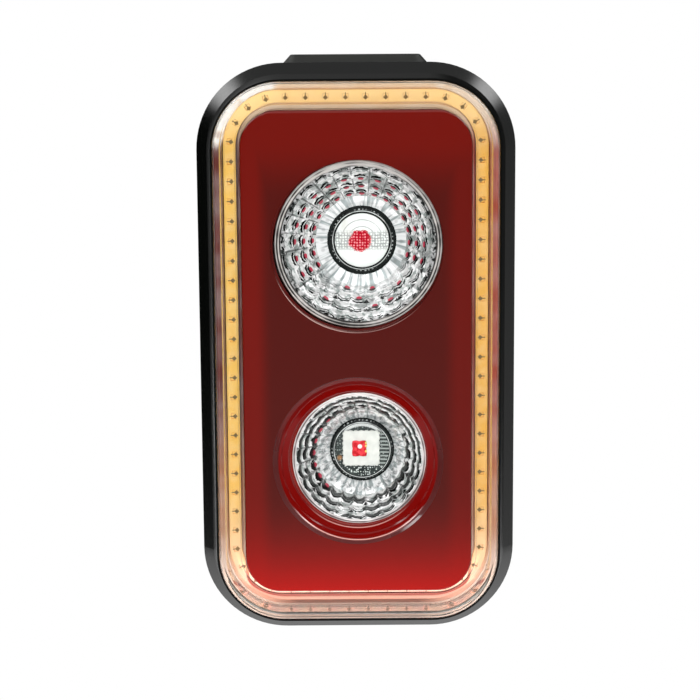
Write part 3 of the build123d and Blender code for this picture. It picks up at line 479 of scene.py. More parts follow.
# Painted light: a weak glow beside the strip at the foot, in the corner and at the ends.
beside = add("MULTIPLY", add("MapRange", forward, -0.8, -0.4, 0.0, 0.3),
             add("MapRange", forward, 0.5, 0.2), add("MapRange", axes["Z"], -27 * MM, -30 * MM))
gathered = add("MAXIMUM", add("MULTIPLY", corner, 0.3),
               add("MapRange", axes["Z"], -24 * MM, -29 * MM, 0.0, 0.15),
               add("MapRange", axes["Z"], 26 * MM, 30 * MM, 0.0, 0.15))
add("OutputMaterial", add("BsdfPrincipled", Base_Color=tone, Roughness=0.35, IOR=1.5,
                          Emission_Color=tone, Emission_Strength=add("ADD", gathered, beside)))
print("strip finishes:", phosphor_silicone.name, chip_epoxy.name, channel_abs.name)

# %% [markdown]
# Milky silicone seals the ring's edge, and inside the housing lie boards under solder mask,
# black epoxy parts, foam and PVC wire. Each is one colour, a little uneven where it was printed,
# moulded or foamed. A flat colour would look like fill, and a picture of each would show no
# more, so one finish with a soft mottle between two near shades serves them all. Roughness tells
# them apart: solder mask and silicone have a satin shine, and foam has none.


# %% Boards, foam and other plain finishes
def mottled(name, first, second, spot_mm, roughness, ior=1.45):
    """A plain surface with a soft mottle between two shades."""
    material, add, place = new_material(name)
    tone = add("Mix", add("TexNoise", place, 1 / (spot_mm * MM)), first, second)
    add("OutputMaterial", add("BsdfPrincipled", Base_Color=tone, Roughness=roughness, IOR=ior))
    return material


silicone_milky = mottled("milky_silicone_grey", "#c2cbcb", "#f4f6f2", 0.4, 0.4)
solder_white = mottled("solder_mask_white", "#e8e6dc", "#dedbd0", 2.0, 0.4)
solder_green = mottled("solder_mask_green", "#0e4a23", "#12552a", 2.0, 0.35)
component_epoxy = mottled("component_epoxy_black", "#161616", "#1e1e1e", 0.5, 0.5)
foam_grey = mottled("foam_grey", "#3b3b3b", "#4a4a4a", 0.4, 0.9)
wire_pvc = mottled("wire_pvc_red", "#8e1210", "#9d1613", 3.0, 0.4)
print("materials so far:", len(bpy.data.materials))

# %% [markdown]
# The screws are zinc-plated or blackened steel, and the heat spreader and the cell's can are
# mill aluminium. Rolling and drawing leave fine lines about 0.2 mm wide, which soften the shine
# across them. The shader's anisotropic setting could do that, but noise stretched 20 times along
# X shows the lines themselves as well.


# %% Metals
def brushed_metal(name, dark, pale, roughness, grain_mm=0.2):
    """A bare metal with a fine brushed grain along X."""
    material, add, place = new_material(name)
    grain = add("TexNoise", add("Mapping", place, Scale=(0.05, 1, 1)), 1 / (grain_mm * MM))
    rough = add("MapRange", grain, 0.0, 1.0, roughness - 0.06, roughness + 0.06,
                interpolation_type="LINEAR")
    add("OutputMaterial", add("BsdfPrincipled", Base_Color=add("Mix", grain, dark, pale),
                              Metallic=1.0, Roughness=rough))
    return material


steel_zinc = brushed_metal("zinc_plated_steel", "#bdbdb8", "#cfcfca", 0.25)
steel_black = brushed_metal("black_oxide_steel", "#262628", "#303032", 0.35)
aluminium_mill = brushed_metal("mill_aluminium", "#cccdce", "#dadbdc", 0.3)
print("metals:", steel_zinc.name, steel_black.name, aluminium_mill.name)

# %% [markdown]
# Most solids of the frame already have the shape that the eye expects, so they stay and only get
# their finish. One table of finishes and names is easier to check than a line for each solid.

# %% Finishes for the solids that stay
finish_groups = {
    abs_black: "rear_housing",
    bezel_black: "front_bezel",
    silicone_milky: "front_gasket",
    silicone_black: "button_cap button_seal usb_cover saddle_pad post_strap",
    nylon_black: "bayonet_foot post_bracket",
    clear_polycarbonate: "clear_lens",
    red_polycarbonate: "red_panel",
    channel_abs: "inner_frame upper_optic_holder lower_optic_holder",
    phosphor_silicone: "strip_coating strip_chips",
    solder_white: "strip_board led_board upper_led lower_led",
    solder_green: "control_board button_board",
    component_epoxy: "controller_parts tact_switch switch_plunger",
    foam_grey: "battery_pad",
    wire_pvc: "internal_wires",
    aluminium_mill: "battery_cell heat_spreader",
    steel_zinc: "usb_socket board_screws control_screws foot_screws",
    steel_black: "housing_screws",
}
for finish, names in finish_groups.items():
    for name in names.split():
        solid = nodes[name]
        solid.data.materials.clear()
        solid.data.materials.append(finish)
nodes["clear_lens"].visible_shadow = False
nodes["clear_lens"].visible_diffuse = False
print("solids finished:", sum(len(names.split()) for names in finish_groups.values()), "of",
      len(nodes))

# %% [markdown]
# The forms that follow are meshes built from rings of points. Two helpers serve them all: one
# lays a skin of four-sided faces between two rings, and one turns the finished mesh into a
# smooth object that rides on its body.

# %% Helpers for meshes
CREASE = math.radians(35)


def skin(bm, near, far):
    """Faces between two rings of as many points, in the order of the points."""
    return [bm.faces.new(four) for four in zip(near, far, far[1:] + far[:1], near[1:] + near[:1])]


def finished_piece(name, bm, material, body="light", smooth=True, crease=None):
    """An object made of a bmesh, riding on a body. Edges past the crease angle stay sharp."""
    mesh = bpy.data.meshes.new(name)
    bm.to_mesh(mesh)
    bm.free()
    if smooth:
        mesh.shade_smooth()
    if crease is not None:
        mesh.set_sharp_from_angle(angle=crease)
    mesh.materials.append(material)
    piece = bpy.data.objects.new(name, mesh)
    bpy.context.scene.collection.objects.link(piece)
    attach(piece, body)
    return piece


# %% [markdown]
# Through the coating each chip of the strip shows as a small dark die with one hair-thin bond
# wire, which runs to the outer edge. An array modifier on a curve would space them too, but here
# each mark is a thin plate placed by reckoning: evenly along the strip's centreline, and turned
# to the strip's heading at its place.

# %% Strip dies
CHIP_COUNT = 72
DIE_HALF = 0.29
DIE_SHIFT = 0.2
WIRE_HALF, WIRE_END = 0.05, 0.62
PLATE = 0.02


def strip_spot(travel):
    """Place and heading on the strip's centreline, clockwise from the top's middle, in mm."""
    quarter = (STRIP_CORNER * math.pi / 2, True)
    top, side = HALF_X - STRIP_CORNER, 2 * (HALF_Z - STRIP_CORNER)
    x, z, heading = 0.0, HALF_Z, 0.0
    for length, bends in ((top, False), quarter, (side, False), quarter, (2 * top, False), quarter,
                          (side, False), quarter, (top, False)):
        step = min(travel, length)
        turn = step / STRIP_CORNER if bends else 0.0
        if bends:
            x += STRIP_CORNER * (math.sin(heading + turn) - math.sin(heading))
            z += STRIP_CORNER * (math.cos(heading + turn) - math.cos(heading))
        else:
            x += step * math.cos(heading)
            z -= step * math.sin(heading)
        heading += turn
        travel -= step
    return x, z, heading


bm = bmesh.new()
loop_length = 4 * (HALF_X + HALF_Z - 2 * STRIP_CORNER) + 2 * math.pi * STRIP_CORNER
face_y = min(strip_low.y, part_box("strip_chips")[0].y)
outline = [(0, -DIE_HALF), (DIE_HALF, 0), (WIRE_HALF, DIE_HALF), (WIRE_HALF, WIRE_END),
           (-WIRE_HALF, WIRE_END), (-WIRE_HALF, DIE_HALF), (-DIE_HALF, 0)]
for index in range(CHIP_COUNT):
    x, z, heading = strip_spot((index + 0.5) * loop_length / CHIP_COUNT)
    places = [(x + along * math.cos(heading) + (out - DIE_SHIFT) * math.sin(heading),
               z - along * math.sin(heading) + (out - DIE_SHIFT) * math.cos(heading))
              for along, out in outline]
    base, top = [[bm.verts.new((x * MM, face_y - lift * MM, z * MM)) for x, z in places]
                 for lift in (0.0, PLATE)]
    bm.faces.new(top)
    skin(bm, base, top)
bmesh.ops.recalc_face_normals(bm, faces=bm.faces)
finished_piece("strip_dies", bm, chip_epoxy, smooth=False)
print("dies:", CHIP_COUNT, "pitch in mm:", round(loop_length / CHIP_COUNT, 2))

# %% [markdown]
# Each optic is a clear moulding that throws its light forward by total reflection. Its bowl is
# cut in rings of small pillows, and every pillow shows its own little picture of the room and of
# the red die behind it, which is why the optic looks silver with black lines and red drops. A
# bump map of pillows would be flat from the side, so they are real shapes here. Each carries a
# map of its own, from one groove to the next, and the finish uses that map to paint these
# pictures: the silver, the black arcs and the grooves are painted reflection and shade, and the
# red drops are a painted image of the die, which a thin shell can't bend into view.

# %% Facet map
SECTORS = 24
TILT = 0.4
ARC_BOW = 0.6


def facet_map(add, place):
    """Where a spot lies in its pillow (u, v, bowed) and on its optic (row, height, side)."""
    whole = add("SeparateXYZ", add("UVMap", uv_map="cell")).node.outputs
    at = SimpleNamespace(whole=whole)
    at.u, at.v = [add("MULTIPLY_ADD", add("FRACT", whole[axis]), 2.0, -1.0) for axis in "XY"]
    at.column, at.row = [add("FLOOR", whole[axis]) for axis in "XY"]
    at.turn = add("MULTIPLY_ADD", whole["X"], 2 * math.pi / SECTORS, TILT * 2 * math.pi / SECTORS)
    at.height, at.side = add("SINE", at.turn), add("COSINE", at.turn)
    at.off_middle, at.sideways = add("ABSOLUTE", at.u), add("ABSOLUTE", at.side)
    at.speck, at.blotch = [add("TexNoise", place, 1 / (size_mm * MM)) for size_mm in (0.5, 1.6)]
    # Rows of arcs are bowed like the edge of a scale.
    at.bowed = add("ADD", at.v, add("MULTIPLY", at.u, at.u, ARC_BOW),
                   add("MULTIPLY_ADD", at.speck, 0.7, -0.35),
                   add("MapRange", at.side, 0.3, 0.9, 0.0, 0.15),
                   add("MapRange", at.height, -0.3, -0.9, 0.0, -0.12))
    return at


# %% Facet lines
def facet_arcs(add, place, at, seam, arc_start, arc_half):
    """Painted reflection of the dark side of the room on a pillow's outer slope: one thick arc and
    one thin.
    """
    broken = add("MapRange", add("TexNoise", place, 1 / (0.9 * MM)), 0.4, 0.5, 0.25, 1.0)
    from_thick = add("ABSOLUTE", add("SUBTRACT", at.bowed, 0.25 + arc_start))
    arc_reach = add("MapRange", at.height, -0.3, -0.9, arc_half, 0.6 * arc_half)
    past_arc = add("SUBTRACT", from_thick, arc_reach)
    thick = add("MULTIPLY", add("MapRange", past_arc, 0.0, 0.1, 1.0, 0.0), broken, seam)
    from_thin = add("ABSOLUTE", add("ADD", at.bowed, 0.25 - arc_start))
    thin = add("MULTIPLY", add("MapRange", from_thin, 0.06, 0.14, 0.9, 0.0), broken)
    return add("MAXIMUM", thick, thin)


def facet_grooves(add, at):
    """Painted shade in the grooves between the sectors, black where they look away from the light,
    and in dark corners.
    """
    upper_left = add("SUBTRACT", at.height, at.side)
    groove = add("MULTIPLY", add("MapRange", at.off_middle, 0.84, 0.94),
                 add("MAXIMUM", add("MapRange", upper_left, -0.8, 1.0, 0.4, 1.0),
                     add("MapRange", at.side, 0.5, 0.9, 0.0, 0.4)),
                 add("MapRange", at.blotch, 0.42, 0.52, 0.15, 0.75))
    to_corner = add("ADD", at.off_middle, add("MULTIPLY", at.v, 0.5))
    corner = add("MULTIPLY", add("MapRange", to_corner, 0.95, 1.15),
                 add("MapRange", at.height, 0.1, -0.5), add("MapRange", at.blotch, 0.4, 0.55))
    return add("MAXIMUM", groove, corner)


def outermost_row(add, at, side_dark):
    """The outer half of the last row, painted dark at the sides as a reflection of the panel's
    wall.
    """
    to_side = add("ADD", at.sideways, add("MULTIPLY", at.height, 0.3))
    return add("MULTIPLY", add("GREATER_THAN", at.row, 3.5),
               add("MapRange", at.v, -0.2, 0.4, 0.0, side_dark),
               add("MapRange", to_side, 0.1, 0.8, 0.2, 1.0),
               add("MapRange", at.speck, 0.4, 0.55, 1.0, 0.5))


# %% Facet shades
def hub_rays(add, at, hub_shade, ray_twist):
    """Next to the hub the pillows are long, with pale streaks of painted reflection that point at
    the middle and painted shade towards the hub.
    """
    polar = add("CombineXYZ", at.turn, add("MULTIPLY", at.whole["Y"], ray_twist))
    streak = add("TexNoise", polar, 11.0, 1.0)
    pale = add("Mix", add("MapRange", streak, 0.36, 0.56), "#a4aeae", "#fcfefe")
    from_middle = add("ADD", add("MULTIPLY", at.u, at.u), add("MULTIPLY", at.v, at.v))
    pale = add("Mix", add("MapRange", from_middle, 0.02, 0.2, 0.35, 0.0), pale, "#8d8f90")
    from_hub = add("SUBTRACT", at.v, add("MapRange", at.height, 0.0, 0.9, 0.0, 0.5 * hub_shade))
    round_hub = add("MULTIPLY", add("MapRange", from_hub, -0.35, -0.8, 0.0, hub_shade),
                    add("MapRange", at.speck, 0.35, 0.5, 0.4, 1.0))
    return add("Mix", round_hub, pale, "#1c2422")


def facet_silver(add, place, at, seam, patch_shade):
    """Painted reflection: mottled silver with a dark patch in each pillow's middle. Rows and seams
    stay bright.
    """
    silver = add("Mix", add("MapRange", at.speck, 0.38, 0.5), "#a8b1ae", "#ffffff")
    silver = add("Mix", add("MapRange", at.blotch, 0.54, 0.6, 0.0, 0.6), silver, "#6a7471")
    silver = add("Mix", add("MapRange", at.v, 0.2, -0.9, 0.0, 0.35), silver, "#9aa4a0")
    patchy = add("ADD", add("TexNoise", place, 1 / (1.8 * MM)),
                 add("MapRange", at.height, 0.0, -0.9, 0.0, 0.06),
                 add("MapRange", at.sideways, 0.3, 0.9, 0.0, 0.05),
                 add("MapRange", at.height, 0.2, 0.9, 0.0, 0.04))
    from_row = add("ABSOLUTE", add("SUBTRACT", at.bowed, 0.1))
    patch = add("MULTIPLY", add("MapRange", patchy, 0.44, 0.5, 0.0, patch_shade),
                add("MapRange", from_row, 0.46, 0.64, 1.0, 0.1), seam)
    return add("Mix", patch, silver, "#1a201e")


# %% Image of the die
def die_image(add, at, colour, last_drop_row, drop_chance):
    """A painted image of the die: a red oval in the inner half of some pillows, with a dark upper
    edge, over a colour.
    """
    shrink = add("MapRange", at.row, 1.0, 3.0, 1.15, 1.35, interpolation_type="LINEAR")
    wide = add("MULTIPLY", at.u, 2.0, shrink)
    high = add("MULTIPLY", add("MULTIPLY_ADD", at.v, 2.1, 0.5), shrink)
    reach = add("ADD", add("MULTIPLY", wide, wide), add("MULTIPLY", high, high),
                add("MULTIPLY_ADD", at.speck, 1.2, -0.6))
    luck = add("TexWhiteNoise", add("CombineXYZ", at.column, at.row))
    shown = add("MULTIPLY", add("GREATER_THAN", at.row, 0.5),
                add("LESS_THAN", at.row, last_drop_row + 0.5),
                add("LESS_THAN", luck, add("MapRange", *drop_chance(at.height, at.side))))
    brow = add("MULTIPLY", add("MapRange", reach, 0.6, 0.8), add("MapRange", reach, 2.3, 1.7),
               add("MapRange", high, 0.0, 0.6), shown)
    colour = add("Mix", brow, colour, "#1a0d0e")
    die_shade = add("ADD", add("MULTIPLY_ADD", high, -0.8, 0.7), add("SUBTRACT", at.speck, 0.5))
    die_red = add("Mix", add("MapRange", die_shade, 0.1, 0.9), "#30060a", "#ae384b")
    drop = add("MULTIPLY", add("MapRange", reach, 0.75, 1.05, 1.0, 0.0), shown)
    return add("Mix", drop, colour, die_red), drop


# %% Facet finish
def facet_finish(name, arc_start, arc_half, hub_arcs, side_dark, rays, hub_shade, patch_shade,
                 seam_shade, ray_twist, last_drop_row, drop_chance):
    """Pillows painted with reflections, silver with black arcs and grooves, and in some rows a
    painted red image of the die.
    """
    material, add, place = new_material(name)
    at = facet_map(add, place)
    rays_below = add("ADD", at.row, add("MapRange", at.height, -0.1, -0.8, 0.0, -rays))
    outside_hub = add("MapRange", rays_below, 0.0, 1.0, interpolation_type="LINEAR")
    # Bright seams between the sectors break the arcs up.
    seam = add("MapRange", at.off_middle, 0.72, 0.94, 1.0, seam_shade)
    line = add("MAXIMUM", facet_arcs(add, place, at, seam, arc_start, arc_half),
               facet_grooves(add, at))
    line = add("MULTIPLY", line, add("MAXIMUM", outside_hub, hub_arcs))
    line = add("MAXIMUM", line, outermost_row(add, at, side_dark))
    silver = add("Mix", outside_hub, hub_rays(add, at, hub_shade, ray_twist),
                 facet_silver(add, place, at, seam, patch_shade))
    lined = add("Mix", line, silver, "#080c0a")
    colour, drop = die_image(add, at, lined, last_drop_row, drop_chance)
    pitted = add("Bump", Height=at.speck, Distance=0.02 * MM)
    add("OutputMaterial", add("BsdfPrincipled", Base_Color=colour, Roughness=0.1, IOR=1.585,
                              Metallic=add("MULTIPLY_ADD", drop, -0.3, 0.3), Normal=pitted))
    return material


# %% Facet shapes
TURNS = (-1.0, -0.88, -0.5, 0.0, 0.5, 0.88, 1.0)
STEPS = (-1.0, -0.86, -0.5, 0.0, 0.5, 0.86, 1.0)
CELL_MARGIN = 0.002
RING_STEPS = 144


def optic_spot(middle_z, shift, radius, angle, depth):
    """A place on an optic, from radius, depth and hub shift in mm and an angle from +X."""
    return ((shift[0] + radius * math.cos(angle)) * MM, PANEL_Y + depth * MM,
            middle_z + (shift[1] + radius * math.sin(angle)) * MM)


def facet_bowl(middle_z, rim, hub, rows, front, fall, bulges):
    """A bowl of pillow facets, from the centre of its rim to that of its hub. Rows are in mm."""
    bm = bmesh.new()
    cells = bm.loops.layers.uv.new("cell")
    rings = []
    for row, (inner, outer) in enumerate(zip(rows, rows[1:])):
        for step in STEPS[(0 if row == 0 else 1):]:
            radius = (inner + outer) / 2 + step * (outer - inner) / 2
            lean = (rows[-1] - radius) / (rows[-1] - rows[0])
            shift = [at_rim + (at_hub - at_rim) * lean for at_rim, at_hub in zip(rim, hub)]
            ring = []
            for sector in range(SECTORS):
                for turn in TURNS[:-1]:
                    angle = (sector + TILT + (turn + 1) / 2) * 2 * math.pi / SECTORS
                    rise = bulges[row] * (1 - step * step) * (1 - turn * turn)
                    depth = front + (rows[-1] - radius) * fall - rise
                    ring.append(bm.verts.new(optic_spot(middle_z, shift, radius, angle, depth)))
            rings.append((row + (step + 1) / 2, ring))
    for (low, near), (high, far) in zip(rings, rings[1:]):
        v0 = low + CELL_MARGIN if low == int(low) else low
        v1 = high - CELL_MARGIN if high == int(high) else high
        for k, face in enumerate(skin(bm, near, far)):
            sector, place = divmod(k, len(TURNS) - 1)
            u0, u1 = [sector + (TURNS[place + i] + 1) / 2 * (1 - 2 * CELL_MARGIN) + CELL_MARGIN
                      for i in (0, 1)]
            for loop, uv in zip(face.loops, ((u0, v0), (u0, v1), (u1, v1), (u1, v0))):
                loop[cells].uv = uv
    bm.normal_update()
    return bm


def turned_ring(middle_z, profile, shift=(0.0, 0.0), scallop=0.0):
    """A surface of revolution from (radius, depth) points in mm. Scallops wave its last ring."""
    bm = bmesh.new()
    angles = [2 * math.pi * k / RING_STEPS for k in range(RING_STEPS)]
    rings = []
    for radius, depth in profile:
        wave = scallop if len(rings) == len(profile) - 1 else 0.0
        places = [optic_spot(middle_z, shift, radius + wave * abs(math.sin(SECTORS * angle / 2)),
                             angle, depth) for angle in angles]
        rings.append([bm.verts.new(place) for place in places])
    for near, far in zip(rings, rings[1:]):
        skin(bm, near, far)
    bm.normal_update()
    return bm


# %% [markdown]
# Round each bowl runs a plain clear rim with two fine ridges, and outside it a thin flange that
# shows the red panel through it. In the middle sits the hub: a dark ring, where the eye looks
# past the moulding into the holder, and a lens that magnifies the package under it. The upper
# lens is stippled and shows the die as a red honeycomb. The lower one is clear, and the square
# package shows as a white plate with its red die, in a dark field with dots and lines. Solid
# clear lenses could form these images, but only with a slow render, so the finishes draw them on
# turned rings, in distances from the hub's centre.

# %% Rim and hub finishes
BEADS = 48


def from_centre(add, place, middle_z, shift):
    """Distance from a spot on an optic's face, and the way from it along each axis."""
    centre = (shift[0] * MM, 0, middle_z + shift[1] * MM)
    offset = add("VectorMath:SUBTRACT", add("VectorMath:MULTIPLY", place, (1, 0, 1)), centre)
    return add("VectorMath:LENGTH", offset), add("SeparateXYZ", offset).node.outputs


def ridged_rim(name, middle_z, shift, dark, pale):
    """Clear moulding with concentric ridges, painted as dark and pale lines of shade and highlight,
    and painted paler towards the top for the light from above.
    """
    material, add, place = new_material(name)
    reach, offset = from_centre(add, place, middle_z, shift)
    ridges = add("SINE", add("MULTIPLY", reach, 2 * math.pi / (0.36 * MM)))
    tone = add("ADD", add("MULTIPLY_ADD", ridges, 0.35, 0.4),
               add("MULTIPLY_ADD", add("TexNoise", place, 1 / (2.5 * MM)), 1.4, -0.7),
               add("MapRange", offset["Z"], 3 * MM, 9 * MM, 0.0, 0.5))
    colour = add("Mix", add("MapRange", tone, 0.1, 0.9), dark, pale)
    add("OutputMaterial", add("BsdfPrincipled", Base_Color=colour, Metallic=0.2, Roughness=0.1,
                              IOR=1.585))
    return material


def hub_ring_finish(name, middle_z, shift, line_mm, bead_mm):
    """Nearly black, painted shade where the eye looks into the holder, with one thin circle of
    painted highlight where the lens begins and a row of beads in it.
    """
    material, add, place = new_material(name)
    reach, offset = from_centre(add, place, middle_z, shift)
    off_line, off_row = [add("ABSOLUTE", add("SUBTRACT", reach, radius_mm * MM))
                         for radius_mm in (line_mm, bead_mm)]
    line = add("MULTIPLY", add("MapRange", off_line, 0.02 * MM, 0.06 * MM, 1.0, 0.0),
               add("MapRange", add("TexNoise", place, 1 / (2.5 * MM)), 0.35, 0.5, 0.3, 1.0))
    angle = add("MULTIPLY", add("ARCTAN2", offset["Z"], offset["X"]), BEADS)
    uneven = add("MULTIPLY", add("TexNoise", place, 1 / (0.7 * MM)), 6.0)
    around = add("SINE", add("ADD", angle, uneven))
    beads = add("MULTIPLY", add("MapRange", around, 0.2, 0.7, 0.0, 0.6),
                add("MapRange", off_row, 0.04 * MM, 0.1 * MM, 1.0, 0.0),
                add("MapRange", add("TexNoise", place, 1 / (1.8 * MM)), 0.47, 0.6))
    tone = add("Mix", add("TexNoise", place, 1 / (1 * MM)), "#0a0d0c", "#1d2321")
    tone = add("Mix", add("MAXIMUM", line, beads), tone, "#d5dad8")
    add("OutputMaterial", add("BsdfPrincipled", Base_Color=tone, Roughness=0.15, IOR=1.585))
    return material


def stippled_lens(name, middle_z, shift, spot_mm, spot_shift):
    """A pale lens with fine rings, a band of dots across it and a red honeycomb in the middle."""
    material, add, place = new_material(name)
    reach, offset = from_centre(add, place, middle_z, shift)
    rings = add("SINE", add("MULTIPLY_ADD", reach, 2 * math.pi / (0.8 * MM), 1.0))
    ring_lines = add("MULTIPLY", add("MapRange", rings, 0.8, 0.98, 0.0, 0.7),
                     add("MapRange", offset["Z"], 0.2 * MM, 1.4 * MM, 0.15, 0.8),
                     add("MapRange", add("TexNoise", place, 1 / (1.2 * MM)), 0.35, 0.55, 0.3, 1.0))
    flat = add("VectorMath:MULTIPLY", place, (1, 0, 1))
    dots = add("TexVoronoi", flat, 1 / (0.33 * MM), Randomness=0.35)
    band = add("MapRange", add("ABSOLUTE", offset["Z"]), 0.7 * MM, 1.4 * MM, 1.0, 0.0)
    dotted = add("MULTIPLY", add("MapRange", dots, 0.3, 0.5, 0.0, 0.6), band)
    colour = add("Mix", add("MAXIMUM", ring_lines, dotted), "#e4e9e6", "#4a524f")
    cloudy = add("MapRange", add("TexNoise", place, 1 / (2 * MM)), 0.5, 0.65, 0.0, 0.35)
    colour = add("Mix", cloudy, colour, "#b9b2a6")
    spot_reach, _ = from_centre(add, place, middle_z,
                                (shift[0] + spot_shift[0], shift[1] + spot_shift[1]))
    ragged = add("ADD", spot_reach, add("MULTIPLY", dots, 0.4 * MM),
                 add("MULTIPLY_ADD", add("TexNoise", place, 1 / (0.8 * MM)), 0.8 * MM, -0.4 * MM))
    honey = add("Mix", add("MapRange", dots, 0.15, 0.45), "#ef8f97", "#a80b20")
    inside = add("MapRange", ragged, spot_mm * MM, (spot_mm + 0.2) * MM, 1.0, 0.0)
    add("OutputMaterial", add("BsdfPrincipled", Base_Color=add("Mix", inside, colour, honey),
                              Roughness=0.08, IOR=1.585, Normal=add("Bump", Height=dots,
                                                                    Distance=0.03 * MM)))
    return material


def dotted_field(name, middle_z, shift):
    """The dark field round the package: a white crescent of painted reflection above, dots below,
    lines at the right, and a small painted orange glint at the left.
    """
    material, add, place = new_material(name)
    reach, offset = from_centre(add, place, middle_z, shift)
    flat = add("VectorMath:MULTIPLY", place, (1, 0, 1))
    dots = add("TexVoronoi", flat, 1 / (0.28 * MM), Randomness=0.5)
    dotted = add("MULTIPLY", add("MapRange", dots, 0.26, 0.42, 1.0, 0.0),
                 add("MapRange", offset["Z"], -1.5 * MM, -2.0 * MM, 0.35, 0.95),
                 add("MapRange", add("TexNoise", place, 1 / (0.8 * MM)), 0.36, 0.5, 0.25, 1.0))
    stripes = add("SINE", add("MULTIPLY", offset["Z"], 2 * math.pi / (0.45 * MM)))
    lines = add("MULTIPLY", add("MapRange", stripes, -0.2, 0.8, 0.0, 0.5),
                add("MapRange", offset["X"], 2.1 * MM, 2.3 * MM))
    # Painted reflection: a white crescent above the package.
    crescent = add("MULTIPLY", add("MapRange", reach, 2.85 * MM, 3.0 * MM),
                   add("MapRange", offset["Z"], 2.1 * MM, 2.7 * MM, 0.0, 0.65))
    tone = add("Mix", add("TexNoise", place, 1 / (1.2 * MM)), "#141a1a", "#48504d")
    tone = add("Mix", add("MAXIMUM", dotted, lines), tone, "#cfd8d4")
    # Painted highlight: a small orange glint at the left of the field.
    to_glint, _ = from_centre(add, place, middle_z, (shift[0] - 2.75, shift[1] - 1.0))
    tone = add("Mix", add("MapRange", to_glint, 0.1 * MM, 0.45 * MM, 0.6, 0.0), tone, "#b8804c")
    tone = add("Mix", crescent, tone, "#eef2f0")
    add("OutputMaterial", add("BsdfPrincipled", Base_Color=tone, Roughness=0.1, IOR=1.585))
    return material


# %% Upper optic
UPPER_RIM = (0.2, 0.15)
UPPER_HUB = (0.65, 0.29)
UPPER_ROWS = (4.05, 5.4, 6.3, 7.3, 8.25, 9.2)
UPPER_DEEP = 4.6
upper_silver = facet_finish(
    "upper_facets_silver", arc_start=0.45, arc_half=0.18, hub_arcs=0.0, side_dark=0.95, rays=0.5,
    hub_shade=0.0, patch_shade=0.25, seam_shade=0.25, ray_twist=0.04, last_drop_row=3.0,
    drop_chance=lambda height, side: (height, -0.7, 0.1, 0.3, 1.1))
bowl = facet_bowl(UPPER_Z, UPPER_RIM, UPPER_HUB, UPPER_ROWS, 1.15, 0.66,
                  (0.1, 0.22, 0.28, 0.3, 0.3))
rim_profile = [(9.2, 1.15), (9.25, 0.9), (9.38, 0.82), (9.5, 0.95), (9.6, 0.84), (9.78, 0.82),
               (9.92, 1.0)]
flange_profile = [(9.92, 1.0), (10.0, 1.2), (10.18, 1.25)]
ring_profile = [(radius, UPPER_DEEP - rise) for radius, rise in
                ((3.25, 0.35), (3.4, 0.45), (3.5, 0.3), (3.75, 0.0), (4.05, 0.1), (4.12, 0.15))]
lens_profile = [(radius, UPPER_DEEP - rise) for radius, rise in
                ((0.02, 0.75), (0.8, 0.73), (1.6, 0.65), (2.4, 0.5), (3.0, 0.35), (3.35, 0.2))]
upper_pieces = [
    finished_piece("upper_optic_facets", bowl, upper_silver),
    finished_piece("upper_optic_rim", turned_ring(UPPER_Z, rim_profile, UPPER_RIM),
                   ridged_rim("clear_rim_grey", UPPER_Z, UPPER_RIM, "#2c2b2a", "#d2ceca")),
    finished_piece("upper_optic_flange", turned_ring(UPPER_Z, flange_profile),
                   mottled("clear_flange_over_red", "#5a1a17", "#7c302c", 3.0, 0.1, ior=1.585)),
    finished_piece("upper_hub_ring", turned_ring(UPPER_Z, ring_profile, UPPER_HUB, scallop=0.14),
                   hub_ring_finish("hub_ring_upper", UPPER_Z, UPPER_HUB, 3.5, 3.68)),
    finished_piece("upper_hub_lens", turned_ring(UPPER_Z, lens_profile, UPPER_HUB),
                   stippled_lens("stippled_lens", UPPER_Z, UPPER_HUB, 1.4, (-0.25, -0.05))),
]
for piece in upper_pieces:
    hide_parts("upper_optic")
print("upper facets:", len(upper_pieces[0].data.polygons), "faces")

# %% [markdown]
# Under the lower lens lies a square package of white silicone with a red die on it. The lens
# makes both look larger, and its facets wave their edges. They could be drawn by a finish as
# well, but as small plates they have real edges that catch the light. Their sizes are those at
# which the eye sees them.

# %% Package and die of the lower optic
PLATE_STEPS = 24
SQUARE_SIDES = ((0, 1), (1, 0), (0, -1), (-1, 0))


def scalloped_plate(centre, half, waves, wave_depth, depth, thick):
    """A small plate with waved edges and a rounded rim that faces the front. Sizes in mm."""
    bm = bmesh.new()
    outline = []
    for side, (out_x, out_z) in enumerate(SQUARE_SIDES):
        for k in range(PLATE_STEPS):
            t = 2 * k / PLATE_STEPS - 1
            wave = wave_depth * abs(math.sin(waves * math.pi * (t + 1) / 2)) - 0.1
            corner = min(1.0, 1.06 - 0.12 * abs(t) ** 6)
            x, z = ((t, 1.0), (1.0, -t), (-t, -1.0), (-1.0, t))[side]
            outline.append((x * half[0] * corner + out_x * wave,
                            z * half[1] * corner + out_z * wave))
    rings = []
    for grow, lift in ((0.0, 0.0), (0.0, thick * 0.6), (-0.06, thick), (-0.2, thick)):
        wide, high = 1 + grow / half[0], 1 + grow / half[1]
        rings.append([bm.verts.new(((centre[0] + x * wide) * MM, PANEL_Y + (depth - lift) * MM,
                                    LOWER_Z + (centre[1] + z * high) * MM)) for x, z in outline])
    for near, far in zip(rings, rings[1:]):
        skin(bm, near, far)
    bm.faces.new(rings[-1])
    bmesh.ops.recalc_face_normals(bm, faces=bm.faces)
    return bm


